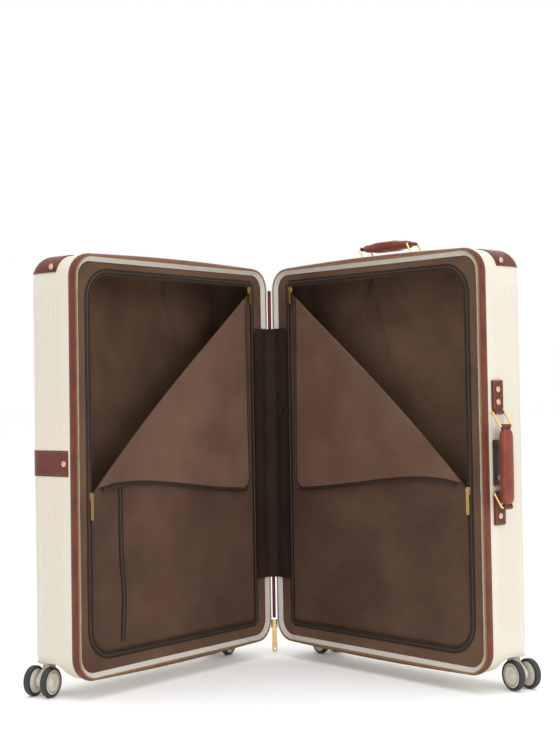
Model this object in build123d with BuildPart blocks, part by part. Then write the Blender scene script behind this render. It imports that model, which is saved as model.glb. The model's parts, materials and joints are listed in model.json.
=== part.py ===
"""A large hard-shell spinner suitcase, standing open on its casters like a book.

Every measure is in millimetres. The case is described in the axes of its back half:
    s  runs from the hinge line along the mouth to the outer side wall,
    d  runs from the mouth plane (the line where the zip teeth meet) into the depth,
    z  runs up from the floor.
The front half is the back half's mirror image about the plane that halves the opening angle.
"""

import os
from math import cos, radians, sin

from build123d import *

os.makedirs("parts", exist_ok=True)

# ---------------------------------------------------------------- driving dimensions
OPENING = 79.5            # angle between the two mouth planes, as the case stands
HINGE_X, HINGE_Y = 0.0, 171.3     # the hinge line, set so that the whole case is centred on the origin

WIDTH = 515.0             # body across the mouth
HEIGHT = 710.0            # body from its lowest rim to its top
DEPTH = 121.0             # one half, from the zip teeth to the big face
SPINE = 6.0               # gap from the hinge line to the body
LIFT = 32.0               # lowest rim above the floor
MOUTH_R = 40.0            # corner radius of the mouth outline
BACK_R = 30.0             # radius between the side walls and the big face
WALL = 3.0                # polycarbonate shell

S_MID = SPINE + WIDTH / 2
S_OUT = SPINE + WIDTH
TOP = LIFT + HEIGHT
Z_MID = LIFT + HEIGHT / 2

TEETH_D, TEETH_W = 0.4, 3.0      # zip teeth start this deep and are this thick
RIM = 18.0                # the shell starts here; the zip band is in front of it
BAND_T = 2.0              # leather trim on the zip band
VINYL_T = 1.2             # white facing inside the zip band
VINYL_D, VINYL_IN = 5.0, 12.5        # its turned-in flange: depth, and inset of its free edge
LIP_D = 8.0               # brown border panel at the mouth
CLOTH = 1.2

CASTER_CEILING = 57.0     # underside of the shell over a caster
RECESS_W = 76.0           # caster recess, in from the body's side
RECESS_D0, RECESS_D1 = 26.0, 63.0    # its curved front rises between these depths
CASTER_IN = 24.0          # swivel axis in from the body's side
CASTER_D = 98.0           # swivel axis behind the mouth plane
CASTER_YAW = 11.0         # the axles are turned this far from square to the mouth
TRAIL = 20.0              # swivel axis to wheel axle
WHEEL_R = 25.25
WHEEL_T = 12.0
WHEEL_GAUGE = 34.0        # between the middles of the twin wheels
HUB_R = 20.5
AXLE_R = 3.0
PIN_R = 4.0
SOCKET_R = 8.0            # the caster's socket stands up through the shell
RUN = 0.05                # radial clearance of a shaft in its bore

PANEL_S0, PANEL_S1 = 48.0, 485.0     # the divider between its sewn edge and its zip
PANEL_Z0, PANEL_Z1 = 70.0, 711.0
PANEL_R = 45.0
FOLD_TOP = (66.0, 683.0)  # the divider's corner is unzipped and folded down along this line
FOLD_OUT = (471.0, 345.0)
FLAP_CORNER = (62.0, 320.0)

BAND_Z0, BAND_Z1 = 370.0, 413.0      # belly band
BAND_D = 22.0
GROOVE = 1.0

SIDE_D = 39.0             # side handle
SIDE_Z0, SIDE_Z1 = 280.0, 520.0
STRAP_W = 26.0
STRAP_T = 4.0
STRAP_L = 53.0
RING_W, RING_STOCK = 33.6, 3.5
RING_L = 31.0             # ring over its outside
TOP_D = 72.0              # top handle
TOP_SPAN = 208.0          # over the ends of its two tabs

TUBE_S = 85.0             # trolley tubes each side of the middle
TUBE_D = 101.3
TUBE_Z0, TUBE_TOP = 118.0, 720.0
TUBE_A, TUBE_B = 24.0, 14.0
TUBE_WALL = 1.2
TUBE_PLAY = 0.2

# ---------------------------------------------------------------- frames of the back half
HALF = radians(OPENING / 2)
ALONG = Vector(sin(HALF), -cos(HALF), 0)
INTO = Vector(cos(HALF), sin(HALF), 0)
UP = Vector(0, 0, 1)
HINGE = Vector(HINGE_X, HINGE_Y, 0)
MIRROR = Plane(origin=HINGE, x_dir=(0, 1, 0), z_dir=(1, 0, 0))
INWARD = Axis(HINGE, INTO)


def place(s, d, z):
    """World position of a point of the back half."""
    return HINGE + ALONG * s + INTO * d + UP * z


def mouth(d):
    """Plane parallel to the mouth at depth d, looking out of it; sketches are (s, z)."""
    return Plane(origin=place(0, d, 0), x_dir=ALONG, z_dir=-INTO)


def side(s):
    """Plane parallel to the outer side wall, looking away from the hinge; sketches are (d, z)."""
    return Plane(origin=place(s, 0, 0), x_dir=INTO, z_dir=ALONG)


def level(z):
    """Level plane at height z; sketches are (s, d)."""
    return Plane(origin=place(0, 0, z), x_dir=ALONG, z_dir=UP)


def finish(builder, name):
    """Label a finished piece and write its STEP file."""
    builder.part.label = name
    export_step(builder.part, f"parts/{name}.step")


def mirrored(builder, name):
    """Write the mirror image of a finished piece as a piece of the front half."""
    with BuildPart() as twin:
        add(mirror(builder.part, about=MIRROR, mode=Mode.PRIVATE))
    finish(twin, name)


# ---------------------------------------------------------------- shared forms
def recess_profile(inset):
    """Side view of a caster recess, (d, z): an S curve up from the rim to a level ceiling."""
    d0, d1 = RECESS_D0 - inset, RECESS_D1 - inset
    z0, z1 = LIFT + inset, CASTER_CEILING + inset
    middle = ((d0 + d1) / 2, (z0 + z1) / 2)
    TangentArc((d0, z0), middle, tangent=(1, 0))
    TangentArc((d1, z1), middle, tangent=(-1, 0))
    Polyline((d1, z1), (DEPTH + 20, z1), (DEPTH + 20, -5), (d0, -5), (d0, z0))


def body_form(inset, front, back):
    """The body's outline drawn in by inset all round, from depth front to depth back."""
    recess_w = RECESS_W + inset
    with BuildPart() as form:
        with BuildSketch(mouth(front)):
            with Locations((S_MID, Z_MID)):
                RectangleRounded(WIDTH - 2 * inset, HEIGHT - 2 * inset, MOUTH_R - inset)
        extrude(amount=front - back)
        fillet(form.faces().sort_by(INWARD)[-1].edges(), BACK_R - inset)
        for start in (SPINE - 10, S_OUT + 10 - recess_w - 10):
            with BuildSketch(side(start)):
                with BuildLine():
                    recess_profile(inset)
                make_face()
            extrude(amount=recess_w + 10, mode=Mode.SUBTRACT)
    return form.part


def slab(s0, s1, d0, d1, z0, z1):
    """A plain block in the back half's axes."""
    with BuildPart() as block:
        with BuildSketch(level(z0)):
            with Locations(((s0 + s1) / 2, (d0 + d1) / 2)):
                Rectangle(s1 - s0, d1 - d0)
        extrude(amount=z1 - z0)
    return block.part


def ring(inset0, inset1, front, back):
    """A band that follows the mouth outline, between two insets and two depths."""
    with BuildPart() as band:
        with BuildSketch(mouth(front)):
            with Locations((S_MID, Z_MID)):
                RectangleRounded(WIDTH - 2 * inset0, HEIGHT - 2 * inset0, MOUTH_R - inset0)
                RectangleRounded(
                    WIDTH - 2 * inset1, HEIGHT - 2 * inset1, MOUTH_R - inset1, mode=Mode.SUBTRACT
                )
        extrude(amount=front - back)
    return band.part


# ---------------------------------------------------------------- shells
OUTER = body_form(0, RIM, DEPTH)
CAVITY = body_form(WALL, RIM - 1, DEPTH - WALL)

caster_places = [(SPINE + CASTER_IN, CASTER_D), (S_OUT - CASTER_IN, CASTER_D)]

with BuildPart() as plain_shell:
    add(OUTER)
    add(CAVITY, mode=Mode.SUBTRACT)
    with BuildSketch(level(CASTER_CEILING - 5)):
        with Locations(*caster_places):
            Circle(SOCKET_R)
    extrude(amount=WALL + 10, mode=Mode.SUBTRACT)

BEZEL_W, BEZEL_D0, BEZEL_D1, BEZEL_Z0 = 250.0, 86.0, 116.5, 704.0
POCKET_W, POCKET_D0, POCKET_D1, POCKET_Z = 226.0, 89.0, 113.5, 721.0
FINGERS_W = 120.0         # the deeper middle of the pocket, for the fingers
GRIP_W, GRIP_D0, GRIP_D1, GRIP_Z0, GRIP_Z1 = 222.0, 91.0, 111.5, 723.0, 742.0

with BuildPart() as back_shell:
    add(plain_shell.part)
    with BuildSketch(level(BEZEL_Z0)):
        with Locations((S_MID, (BEZEL_D0 + BEZEL_D1) / 2)):
            RectangleRounded(BEZEL_W, BEZEL_D1 - BEZEL_D0, 8)
    extrude(amount=TOP + 10 - BEZEL_Z0, mode=Mode.SUBTRACT)
finish(back_shell, "back_shell")

groove_ring = OUTER - body_form(GROOVE, RIM, DEPTH - GROOVE)
with BuildPart() as band_groove:
    add(groove_ring)
    add(slab(-50, 600, BAND_D, DEPTH + 5, BAND_Z0, BAND_Z1), mode=Mode.INTERSECT)

with BuildPart() as front_shell:
    add(plain_shell.part)
    add(band_groove.part, mode=Mode.SUBTRACT)
mirrored(front_shell, "front_shell")

# ---------------------------------------------------------------- zip band
TEETH_END = TEETH_D + TEETH_W
with BuildPart() as back_trim:
    add(ring(-0.4, BAND_T, TEETH_END, RIM))
finish(back_trim, "back_trim")
mirrored(back_trim, "front_trim")

with BuildPart() as back_zip_teeth:
    add(ring(0.5, WALL + VINYL_T, TEETH_D, TEETH_END))
finish(back_zip_teeth, "back_zip_teeth")
mirrored(back_zip_teeth, "front_zip_teeth")

with BuildPart() as back_vinyl:
    add(ring(WALL, WALL + VINYL_T, TEETH_END, RIM + 4))
    add(ring(WALL + VINYL_T, VINYL_IN, VINYL_D, VINYL_D + VINYL_T))
finish(back_vinyl, "back_vinyl")
mirrored(back_vinyl, "front_vinyl")


# ---------------------------------------------------------------- linings and dividers
def panel_outline(grow):
    """The divider's outline: square at the sewn spine edge, rounded at the zipped side."""
    with BuildSketch() as outline:
        with Locations(((PANEL_S0 + PANEL_S1) / 2, (PANEL_Z0 + PANEL_Z1) / 2)):
            Rectangle(PANEL_S1 - PANEL_S0 + 2 * grow, PANEL_Z1 - PANEL_Z0 + 2 * grow)
        fillet(outline.vertices().group_by(Axis.X)[-1], PANEL_R + grow)
    return outline.sketch


LINING_GAP = 1.4          # from the shell's inner face to the lining


def make_lining(name, back, flip):
    """A fabric tray with its border panel at the mouth and a window for the divider."""
    outside = body_form(WALL + LINING_GAP, LIP_D, back)
    inside = body_form(WALL + LINING_GAP + CLOTH, LIP_D + CLOTH, back - CLOTH)
    window = panel_outline(3)
    with BuildPart() as lining:
        add(outside)
        add(inside, mode=Mode.SUBTRACT)
        with BuildSketch(mouth(LIP_D - 1)):
            add(window)
        extrude(amount=-(CLOTH + 2), mode=Mode.SUBTRACT)
    if flip:
        mirrored(lining, name)
    else:
        finish(lining, name)


BACK_FLOOR = 85.5         # the back lining stops in front of the trolley tubes
FRONT_FLOOR = DEPTH - WALL - LINING_GAP
make_lining("back_lining", BACK_FLOOR, False)
make_lining("front_lining", FRONT_FLOOR, True)

PANEL_D, PANEL_T = 9.6, 1.8
FLAP_D = 4.2

with BuildPart() as back_divider:
    outline = panel_outline(1.5)
    with BuildSketch(mouth(PANEL_D)):
        add(outline)
        with BuildLine():
            Polyline(
                FOLD_TOP, FOLD_OUT, (PANEL_S1 + 20, FOLD_OUT[1]),
                (PANEL_S1 + 20, PANEL_Z1 + 20), (FOLD_TOP[0], PANEL_Z1 + 20), FOLD_TOP,
            )
        make_face(mode=Mode.SUBTRACT)
    extrude(amount=-PANEL_T)
    with BuildSketch(mouth(FLAP_D)) as flap:
        with BuildLine():
            Polyline(FOLD_TOP, FOLD_OUT, FLAP_CORNER, FOLD_TOP)
        make_face()
        fillet(flap.vertices().sort_by(Axis.Y)[0], 18)
    extrude(amount=FLAP_D - PANEL_D)
finish(back_divider, "back_divider")
mirrored(back_divider, "front_divider")

# divider zip sliders: one at the top next to the spine, one where the fold meets the side zip
TOP_SLIDER = (54.0, 702.0)
SIDE_SLIDER = (484.0, 336.0)
SLIDER_D = 5.9
SLIDER_T = 2.0
SLIDER_W, SLIDER_L = 9.0, 13.0
PULL_T = 1.4
PULL_PIN_D, PULL_PIN_UP = 4.6, 1.2   # the pull's pin: its depth, and its height above the slider
PULL_PIN_R, PULL_BORE_R, PULL_EYE_R = 0.45, 0.6, 0.9
POST_W, POST_H, POST_GAP = 0.7, 2.2, 0.2     # the two posts that hold the pin
TOP_PULL_W, TOP_PULL_L = 5.0, 29.0
SIDE_PULL_W, SIDE_PULL_L = 7.0, 41.0


def slider(s, z, pull_w):
    """A zip slider block with two posts and the pin that its pull turns on."""
    with BuildPart() as body:
        with BuildSketch(mouth(SLIDER_D)):
            with Locations((s, z)):
                RectangleRounded(SLIDER_W, SLIDER_L, SLIDER_W * 0.3)
        extrude(amount=-SLIDER_T)
        post_s = pull_w / 2 + POST_GAP + POST_W / 2
        with BuildSketch(mouth(PULL_PIN_D - PULL_EYE_R)):
            with Locations((s - post_s, z + PULL_PIN_UP), (s + post_s, z + PULL_PIN_UP)):
                Rectangle(POST_W, POST_H)
        extrude(amount=PULL_PIN_D - PULL_EYE_R - SLIDER_D)
        with BuildSketch(side(s - post_s)):
            with Locations((PULL_PIN_D, z + PULL_PIN_UP)):
                Circle(PULL_PIN_R)
        extrude(amount=2 * post_s)
    return body.part


def pull(s, z, width, length):
    """A flat pull tab hanging from a turned eye that sits on its slider's pin."""
    with BuildPart() as tab:
        with BuildSketch(side(s - width / 2)):
            with Locations((PULL_PIN_D, z + PULL_PIN_UP)):
                Circle(PULL_EYE_R)
        extrude(amount=width)
        with BuildSketch(mouth(PULL_PIN_D - PULL_T / 2)):
            with Locations((s, z + PULL_PIN_UP - length / 2)):
                RectangleRounded(width, length, width * 0.35)
        extrude(amount=-PULL_T)
        with BuildSketch(side(s - width)):
            with Locations((PULL_PIN_D, z + PULL_PIN_UP)):
                Circle(PULL_BORE_R)
        extrude(amount=2 * width, mode=Mode.SUBTRACT)
    return tab


MAIN_SLIDER_Z0, MAIN_SLIDER_L = 52.0, 17.0
MAIN_PIN_Z, MAIN_PIN_OUT = 58.6, 5.2     # the main pull's pin: height, and distance off the hinge line
MAIN_EYE_R, MAIN_EYE_W = 1.3, 5.2
MAIN_PIN_R, MAIN_BORE_R = 0.6, 0.75
MAIN_POST_W, MAIN_POST_H = 1.0, 2.4
main_post_x = MAIN_EYE_W / 2 + 0.3 + MAIN_POST_W / 2
main_post_y0, main_post_y1 = HINGE_Y - MAIN_PIN_OUT - 1.1, HINGE_Y - 2
with BuildPart() as back_zip_sliders:
    add(slider(*TOP_SLIDER, TOP_PULL_W))
    add(slider(*SIDE_SLIDER, SIDE_PULL_W))
    with BuildSketch(Plane.XY.offset(MAIN_SLIDER_Z0)):
        with Locations((HINGE_X, HINGE_Y)):
            Ellipse(6.3, 3.6)
    extrude(amount=MAIN_SLIDER_L)
    with BuildSketch(Plane.XY.offset(MAIN_PIN_Z - MAIN_POST_H / 2)):
        post_y = (main_post_y0 + main_post_y1) / 2
        with Locations((HINGE_X - main_post_x, post_y), (HINGE_X + main_post_x, post_y)):
            Rectangle(MAIN_POST_W, main_post_y1 - main_post_y0)
    extrude(amount=MAIN_POST_H)
    with BuildSketch(Plane.YZ.offset(HINGE_X - main_post_x)):
        with Locations((HINGE_Y - MAIN_PIN_OUT, MAIN_PIN_Z)):
            Circle(MAIN_PIN_R)
    extrude(amount=2 * main_post_x)
finish(back_zip_sliders, "back_zip_sliders")

with BuildPart() as front_zip_sliders:
    add(slider(*TOP_SLIDER, TOP_PULL_W))
    add(slider(*SIDE_SLIDER, SIDE_PULL_W))
mirrored(front_zip_sliders, "front_zip_sliders")

back_pull_top = pull(*TOP_SLIDER, TOP_PULL_W, TOP_PULL_L)
finish(back_pull_top, "back_pull_top")
mirrored(back_pull_top, "front_pull_top")
back_pull_side = pull(*SIDE_SLIDER, SIDE_PULL_W, SIDE_PULL_L)
finish(back_pull_side, "back_pull_side")
mirrored(back_pull_side, "front_pull_side")

MAIN_PULL_W, MAIN_PULL_L, MAIN_PULL_T = 10.0, 50.0, 2.0
MAIN_NECK = 2.0           # the plate starts this far below its pin
with BuildPart() as main_zip_pull:
    with BuildSketch(Plane.YZ.offset(HINGE_X - MAIN_EYE_W / 2)):
        with Locations((HINGE_Y - MAIN_PIN_OUT, MAIN_PIN_Z)):
            Circle(MAIN_EYE_R)
    extrude(amount=MAIN_EYE_W)
    plate_top = MAIN_PIN_Z - MAIN_NECK
    with BuildSketch(Plane.XZ.offset(-(HINGE_Y - MAIN_PIN_OUT + MAIN_PULL_T / 2))):
        with Locations((HINGE_X, plate_top - MAIN_PULL_L / 2)):
            RectangleRounded(MAIN_PULL_W, MAIN_PULL_L, 4.5)
        with Locations((HINGE_X, plate_top - 1)):
            Rectangle(MAIN_EYE_W, 2 * MAIN_NECK + 2)
        with Locations((HINGE_X, plate_top - MAIN_PULL_L + 7)):
            Circle(2, mode=Mode.SUBTRACT)
    extrude(amount=MAIN_PULL_T)
    with BuildSketch(Plane.YZ.offset(HINGE_X - MAIN_PULL_W)):
        with Locations((HINGE_Y - MAIN_PIN_OUT, MAIN_PIN_Z)):
            Circle(MAIN_BORE_R)
    extrude(amount=2 * MAIN_PULL_W, mode=Mode.SUBTRACT)
finish(main_zip_pull, "main_zip_pull")

# ---------------------------------------------------------------- spine
HINGE_STRIP_R = 3.4
with BuildPart() as hinge_strip:
    with BuildSketch(Plane.XY.offset(LIFT + MOUTH_R)):
        with Locations((HINGE_X, HINGE_Y)):
            Circle(HINGE_STRIP_R)
    extrude(amount=HEIGHT - 2 * MOUTH_R)
finish(hinge_strip, "hinge_strip")

COVER_Z0, COVER_Z1 = 152.0, 628.0    # the cloth cover over the zip tape at the spine
COVER_S0, COVER_S1 = 12.0, 44.0
COVER_D, COVER_T = 2.2, 1.4
with BuildPart() as spine_cover:
    with BuildSketch(mouth(COVER_D)):
        with Locations(((COVER_S0 + COVER_S1) / 2, (COVER_Z0 + COVER_Z1) / 2)):
            Rectangle(COVER_S1 - COVER_S0, COVER_Z1 - COVER_Z0)
    extrude(amount=-COVER_T)
finish(spine_cover, "spine_cover")

# ---------------------------------------------------------------- leather fittings
GUARD_T = 1.6
GUARD_W, GUARD_D = 72.0, 48.0         # reach from the side, front edge
GUARD_Z = TOP - BACK_R + 0.5          # lower edge, just clear of the flat face
FAR = 5.0                 # how far a cutting block stands outside the body
skin = body_form(-GUARD_T, RIM, DEPTH + GUARD_T)


def make_guards(name, flip):
    """Leather caps on the two top corners of the big face."""
    with BuildPart() as guards:
        add(skin)
        add(OUTER, mode=Mode.SUBTRACT)
        keep = slab(SPINE - FAR, SPINE + GUARD_W, GUARD_D, DEPTH + FAR, GUARD_Z, TOP + FAR) + slab(
            S_OUT - GUARD_W, S_OUT + FAR, GUARD_D, DEPTH + FAR, GUARD_Z, TOP + FAR
        )
        add(keep, mode=Mode.INTERSECT)
    if flip:
        mirrored(guards, name)
    else:
        finish(guards, name)


make_guards("back_corner_guards", False)
make_guards("front_corner_guards", True)

with BuildPart() as front_belly_band:
    add(body_form(-GROOVE, RIM, DEPTH + GROOVE))
    add(body_form(GROOVE, RIM - 1, DEPTH - GROOVE), mode=Mode.SUBTRACT)
    add(slab(-50, 600, BAND_D, DEPTH + 5, BAND_Z0, BAND_Z1), mode=Mode.INTERSECT)
mirrored(front_belly_band, "front_belly_band")

RIVET_R, RIVET_H = 3.8, 1.4
GUARD_RIVET = (57.0, 722.0)


def rivets(spots, start, direction):
    """Domed rivet heads, each standing on a surface at depth or side start."""
    with BuildPart() as heads:
        with BuildSketch(side(start)):
            with Locations(*spots):
                Circle(RIVET_R)
        extrude(amount=RIVET_H * direction, taper=18)
    return heads.part


strap_rivets = [(SIDE_D, z) for z in (SIDE_Z1 - 15, SIDE_Z1 - 36, SIDE_Z0 + 15, SIDE_Z0 + 36)]
TAB_T = 3.5
TAB_L = 44.0
tab_middles = (S_MID - TOP_SPAN / 2 + TAB_L / 2, S_MID + TOP_SPAN / 2 - TAB_L / 2)
with BuildPart() as back_rivets:
    add(rivets(strap_rivets, S_OUT + STRAP_T, 1))
    add(rivets([GUARD_RIVET], S_OUT + GUARD_T, 1))
    add(rivets([GUARD_RIVET], SPINE - GUARD_T, -1))
    with BuildSketch(level(TOP + TAB_T)):
        with Locations(*[(s + way * 12, TOP_D) for s, way in zip(tab_middles, (-1, 1))]):
            Circle(RIVET_R)
    extrude(amount=RIVET_H, taper=18)
finish(back_rivets, "back_rivets")

with BuildPart() as front_rivets:
    add(rivets([(BAND_D + 10, (BAND_Z0 + BAND_Z1) / 2)], S_OUT + GROOVE, 1))
    add(rivets([(BAND_D + 10, (BAND_Z0 + BAND_Z1) / 2)], SPINE - GROOVE, -1))
    add(rivets([GUARD_RIVET], S_OUT + GUARD_T, 1))
    add(rivets([GUARD_RIVET], SPINE - GUARD_T, -1))
mirrored(front_rivets, "front_rivets")

# ---------------------------------------------------------------- side handle
# Each strap ends in a turned loop that holds a ring's bar; the grip hangs between the two rings.
EYE_R = 3.6               # outside of a leather loop round a ring's bar
BAR_PLAY = 0.3
SIDE_EYE_S = S_OUT + EYE_R + 0.2
RING_LEAN = 33.0          # the rings hang outwards from the wall by this angle
RING_PITCH = RING_L - RING_STOCK
GRIP_T = 15.0
side_eyes = (SIDE_Z1 - STRAP_L, SIDE_Z0 + STRAP_L)

NECK = 5.0                # the strap narrows to its loop over this length
EYE_W = 22.0

with BuildPart() as side_handle_straps:
    for z0, z1, eye, way in (
        (side_eyes[0] + NECK, SIDE_Z1, side_eyes[0], 1),
        (SIDE_Z0, side_eyes[1] - NECK, side_eyes[1], -1),
    ):
        with BuildSketch(side(S_OUT)):
            with Locations((SIDE_D, (z0 + z1) / 2)):
                RectangleRounded(STRAP_W, z1 - z0, 2)
            with Locations((SIDE_D, eye + way * NECK)):
                Rectangle(EYE_W, 2 * NECK)
        extrude(amount=STRAP_T)
        with BuildSketch(mouth(SIDE_D - EYE_W / 2)):
            with Locations((SIDE_EYE_S, eye)):
                Circle(EYE_R)
        extrude(amount=-EYE_W)
        with BuildSketch(mouth(SIDE_D - EYE_W)):
            with Locations((SIDE_EYE_S, eye)):
                Circle(RING_STOCK / 2 + BAR_PLAY)
        extrude(amount=-2 * EYE_W, mode=Mode.SUBTRACT)
finish(side_handle_straps, "side_handle_straps")


def wire_ring(plane, name):
    """A rectangular ring of round wire whose first bar lies on the plane's x axis."""
    with BuildSketch(plane) as outline:
        with Locations((0, RING_PITCH / 2)):
            RectangleRounded(RING_W - RING_STOCK, RING_PITCH, 3.5)
    path = outline.sketch.wire()
    with BuildPart() as loop:
        with BuildSketch(Plane(origin=path @ 0, z_dir=path % 0)):
            Circle(RING_STOCK / 2)
        sweep(path=path)
    finish(loop, name)


lean = radians(RING_LEAN)
ring_way = ALONG * sin(lean) - UP * cos(lean)
for eye, name in zip(side_eyes, ("side_ring_upper", "side_ring_lower")):
    wire_ring(Plane(origin=place(SIDE_EYE_S, SIDE_D, eye), x_dir=INTO, z_dir=INTO.cross(ring_way)), name)

side_bars = [(SIDE_EYE_S + RING_PITCH * sin(lean), eye - RING_PITCH * cos(lean)) for eye in side_eyes]


def grip(bars, plane_at, middle, half_width, name):
    """A padded leather grip: a bar between two turned loops, one round each ring's outer bar."""
    (x0, y0), (x1, y1) = bars
    with BuildPart() as handle:
        with BuildSketch(plane_at(middle - 10)):
            with Locations((x0, y0), (x1, y1)):
                Circle(EYE_R)
        extrude(amount=-20)
        with BuildSketch(plane_at(middle - half_width)) as bar:
            with Locations(((x0 + x1) / 2, (y0 + y1) / 2)):
                reach_x, reach_y = abs(x1 - x0), abs(y1 - y0)
                Rectangle(max(reach_x - 14, GRIP_T), max(reach_y - 14, GRIP_T))
            fillet(bar.vertices(), 6)
        extrude(amount=-2 * half_width)
        with BuildSketch(plane_at(middle - 9)):
            with Locations(((x0 + x1) / 2, (y0 + y1) / 2)):
                Rectangle(max(reach_x - 5, 5), max(reach_y - 5, 5))
        extrude(amount=-18)
        with BuildSketch(plane_at(middle - 20)):
            with Locations((x0, y0), (x1, y1)):
                Circle(RING_STOCK / 2 + BAR_PLAY)
        extrude(amount=-40, mode=Mode.SUBTRACT)
    finish(handle, name)


grip(side_bars, mouth, SIDE_D, 13, "side_handle_grip")

# ---------------------------------------------------------------- lock
LOCK_Z0, LOCK_Z1 = 345.0, 421.0
LOCK_T = 2.0
with BuildPart() as lock_plate:
    with BuildSketch(side(S_OUT)):
        with Locations((SIDE_D, (LOCK_Z0 + LOCK_Z1) / 2)):
            RectangleRounded(STRAP_W, LOCK_Z1 - LOCK_Z0, 3)
    extrude(amount=LOCK_T)
    with BuildSketch(side(S_OUT + 0.6)):
        with Locations((SIDE_D, LOCK_Z0 + 13)):
            RectangleRounded(12.6, 8.6, 1.8)
    extrude(amount=5, mode=Mode.SUBTRACT)
    with BuildSketch(side(S_OUT + 0.8)):
        with Locations((SIDE_D, LOCK_Z1 - 13)):
            Circle(4.5)
            Rectangle(1.6, 6, mode=Mode.SUBTRACT)
    extrude(amount=2)
finish(lock_plate, "lock_plate")

BUTTON_TRAVEL = 1.2
with BuildPart() as lock_button:
    with BuildSketch(side(S_OUT + 0.6 + BUTTON_TRAVEL + 0.2)):
        with Locations((SIDE_D, LOCK_Z0 + 13)):
            RectangleRounded(12, 8, 1.5)
    extrude(amount=1.4)
finish(lock_button, "lock_button")

# ---------------------------------------------------------------- top handle
TOP_EYE_Z = TOP + EYE_R + 0.2
top_eyes = (S_MID - TOP_SPAN / 2 + TAB_L, S_MID + TOP_SPAN / 2 - TAB_L)
TOP_LEAN = 30.0           # the rings lean towards the hinge by this angle from upright
TOP_LIFT_WAY = UP * cos(radians(TOP_LEAN)) - ALONG * sin(radians(TOP_LEAN))

with BuildPart() as top_handle_tabs:
    for middle, eye, way in zip(tab_middles, top_eyes, (-1, 1)):
        with BuildSketch(level(TOP)):
            with Locations((middle + way * NECK / 2, TOP_D)):
                RectangleRounded(TAB_L - NECK, STRAP_W, 2)
            with Locations((eye + way * NECK, TOP_D)):
                Rectangle(2 * NECK, EYE_W)
        extrude(amount=TAB_T)
        with BuildSketch(mouth(TOP_D - EYE_W / 2)):
            with Locations((eye, TOP_EYE_Z)):
                Circle(EYE_R)
        extrude(amount=-EYE_W)
        with BuildSketch(mouth(TOP_D - EYE_W)):
            with Locations((eye, TOP_EYE_Z)):
                Circle(RING_STOCK / 2 + BAR_PLAY)
        extrude(amount=-2 * EYE_W, mode=Mode.SUBTRACT)
finish(top_handle_tabs, "top_handle_tabs")

for eye, name in zip(top_eyes, ("top_ring_inner", "top_ring_outer")):
    ring_plane = Plane(origin=place(eye, TOP_D, TOP_EYE_Z), x_dir=INTO, z_dir=INTO.cross(TOP_LIFT_WAY))
    wire_ring(ring_plane, name)

top_bars = [
    (eye - RING_PITCH * sin(radians(TOP_LEAN)), TOP_EYE_Z + RING_PITCH * cos(radians(TOP_LEAN)))
    for eye in top_eyes
]
grip(top_bars, mouth, TOP_D, 13, "top_handle_grip")

# ---------------------------------------------------------------- trolley
with BuildPart() as trolley_bezel:
    with BuildSketch(level(BEZEL_Z0)):
        with Locations((S_MID, (BEZEL_D0 + BEZEL_D1) / 2)):
            RectangleRounded(BEZEL_W, BEZEL_D1 - BEZEL_D0, 8)
    extrude(amount=TOP - BEZEL_Z0)
    fillet(trolley_bezel.faces().sort_by(Axis.Z)[-1].edges(), 3)
    with BuildSketch(level(POCKET_Z)):
        with Locations((S_MID, (POCKET_D0 + POCKET_D1) / 2)):
            RectangleRounded(POCKET_W, POCKET_D1 - POCKET_D0, 5)
    extrude(amount=TOP, mode=Mode.SUBTRACT)
    with BuildSketch(level(BEZEL_Z0 + 2)):
        with Locations((S_MID, (POCKET_D0 + POCKET_D1) / 2)):
            RectangleRounded(FINGERS_W, POCKET_D1 - POCKET_D0, 5)
    extrude(amount=TOP, mode=Mode.SUBTRACT)
    with BuildSketch(level(BEZEL_Z0)):
        with Locations((S_MID - TUBE_S, TUBE_D), (S_MID + TUBE_S, TUBE_D)):
            RectangleRounded(TUBE_A, TUBE_B, 3)
    extrude(amount=TUBE_TOP - BEZEL_Z0, mode=Mode.SUBTRACT)
    with BuildSketch(level(BEZEL_Z0)):
        with Locations((S_MID - TUBE_S, TUBE_D), (S_MID + TUBE_S, TUBE_D)):
            RectangleRounded(TUBE_A - 2 * TUBE_WALL, TUBE_B - 2 * TUBE_WALL, 2)
    extrude(amount=TOP, mode=Mode.SUBTRACT)
finish(trolley_bezel, "trolley_bezel")


def tubes(stage, z0, z1, name):
    """A pair of flat-oval aluminium tubes, one size smaller at each stage, closed at the foot."""
    shrink = stage * 2 * (TUBE_WALL + TUBE_PLAY)
    a, b, r = TUBE_A - shrink, TUBE_B - shrink, 3 - stage * 0.6
    with BuildPart() as pair:
        with BuildSketch(level(z0)):
            with Locations((S_MID - TUBE_S, TUBE_D), (S_MID + TUBE_S, TUBE_D)):
                RectangleRounded(a, b, r)
        extrude(amount=z1 - z0)
        with BuildSketch(level(z0 + 4)):
            with Locations((S_MID - TUBE_S, TUBE_D), (S_MID + TUBE_S, TUBE_D)):
                RectangleRounded(a - 2 * TUBE_WALL, b - 2 * TUBE_WALL, max(r - 1, 0.8))
        extrude(amount=z1 - z0, mode=Mode.SUBTRACT)
    finish(pair, name)


tubes(0, TUBE_Z0, TUBE_TOP, "trolley_outer_tubes")
tubes(1, TUBE_Z0 + 6, POCKET_Z + 0.6, "trolley_mid_tubes")
tubes(2, TUBE_Z0 + 12, GRIP_Z0, "trolley_inner_tubes")

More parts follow.
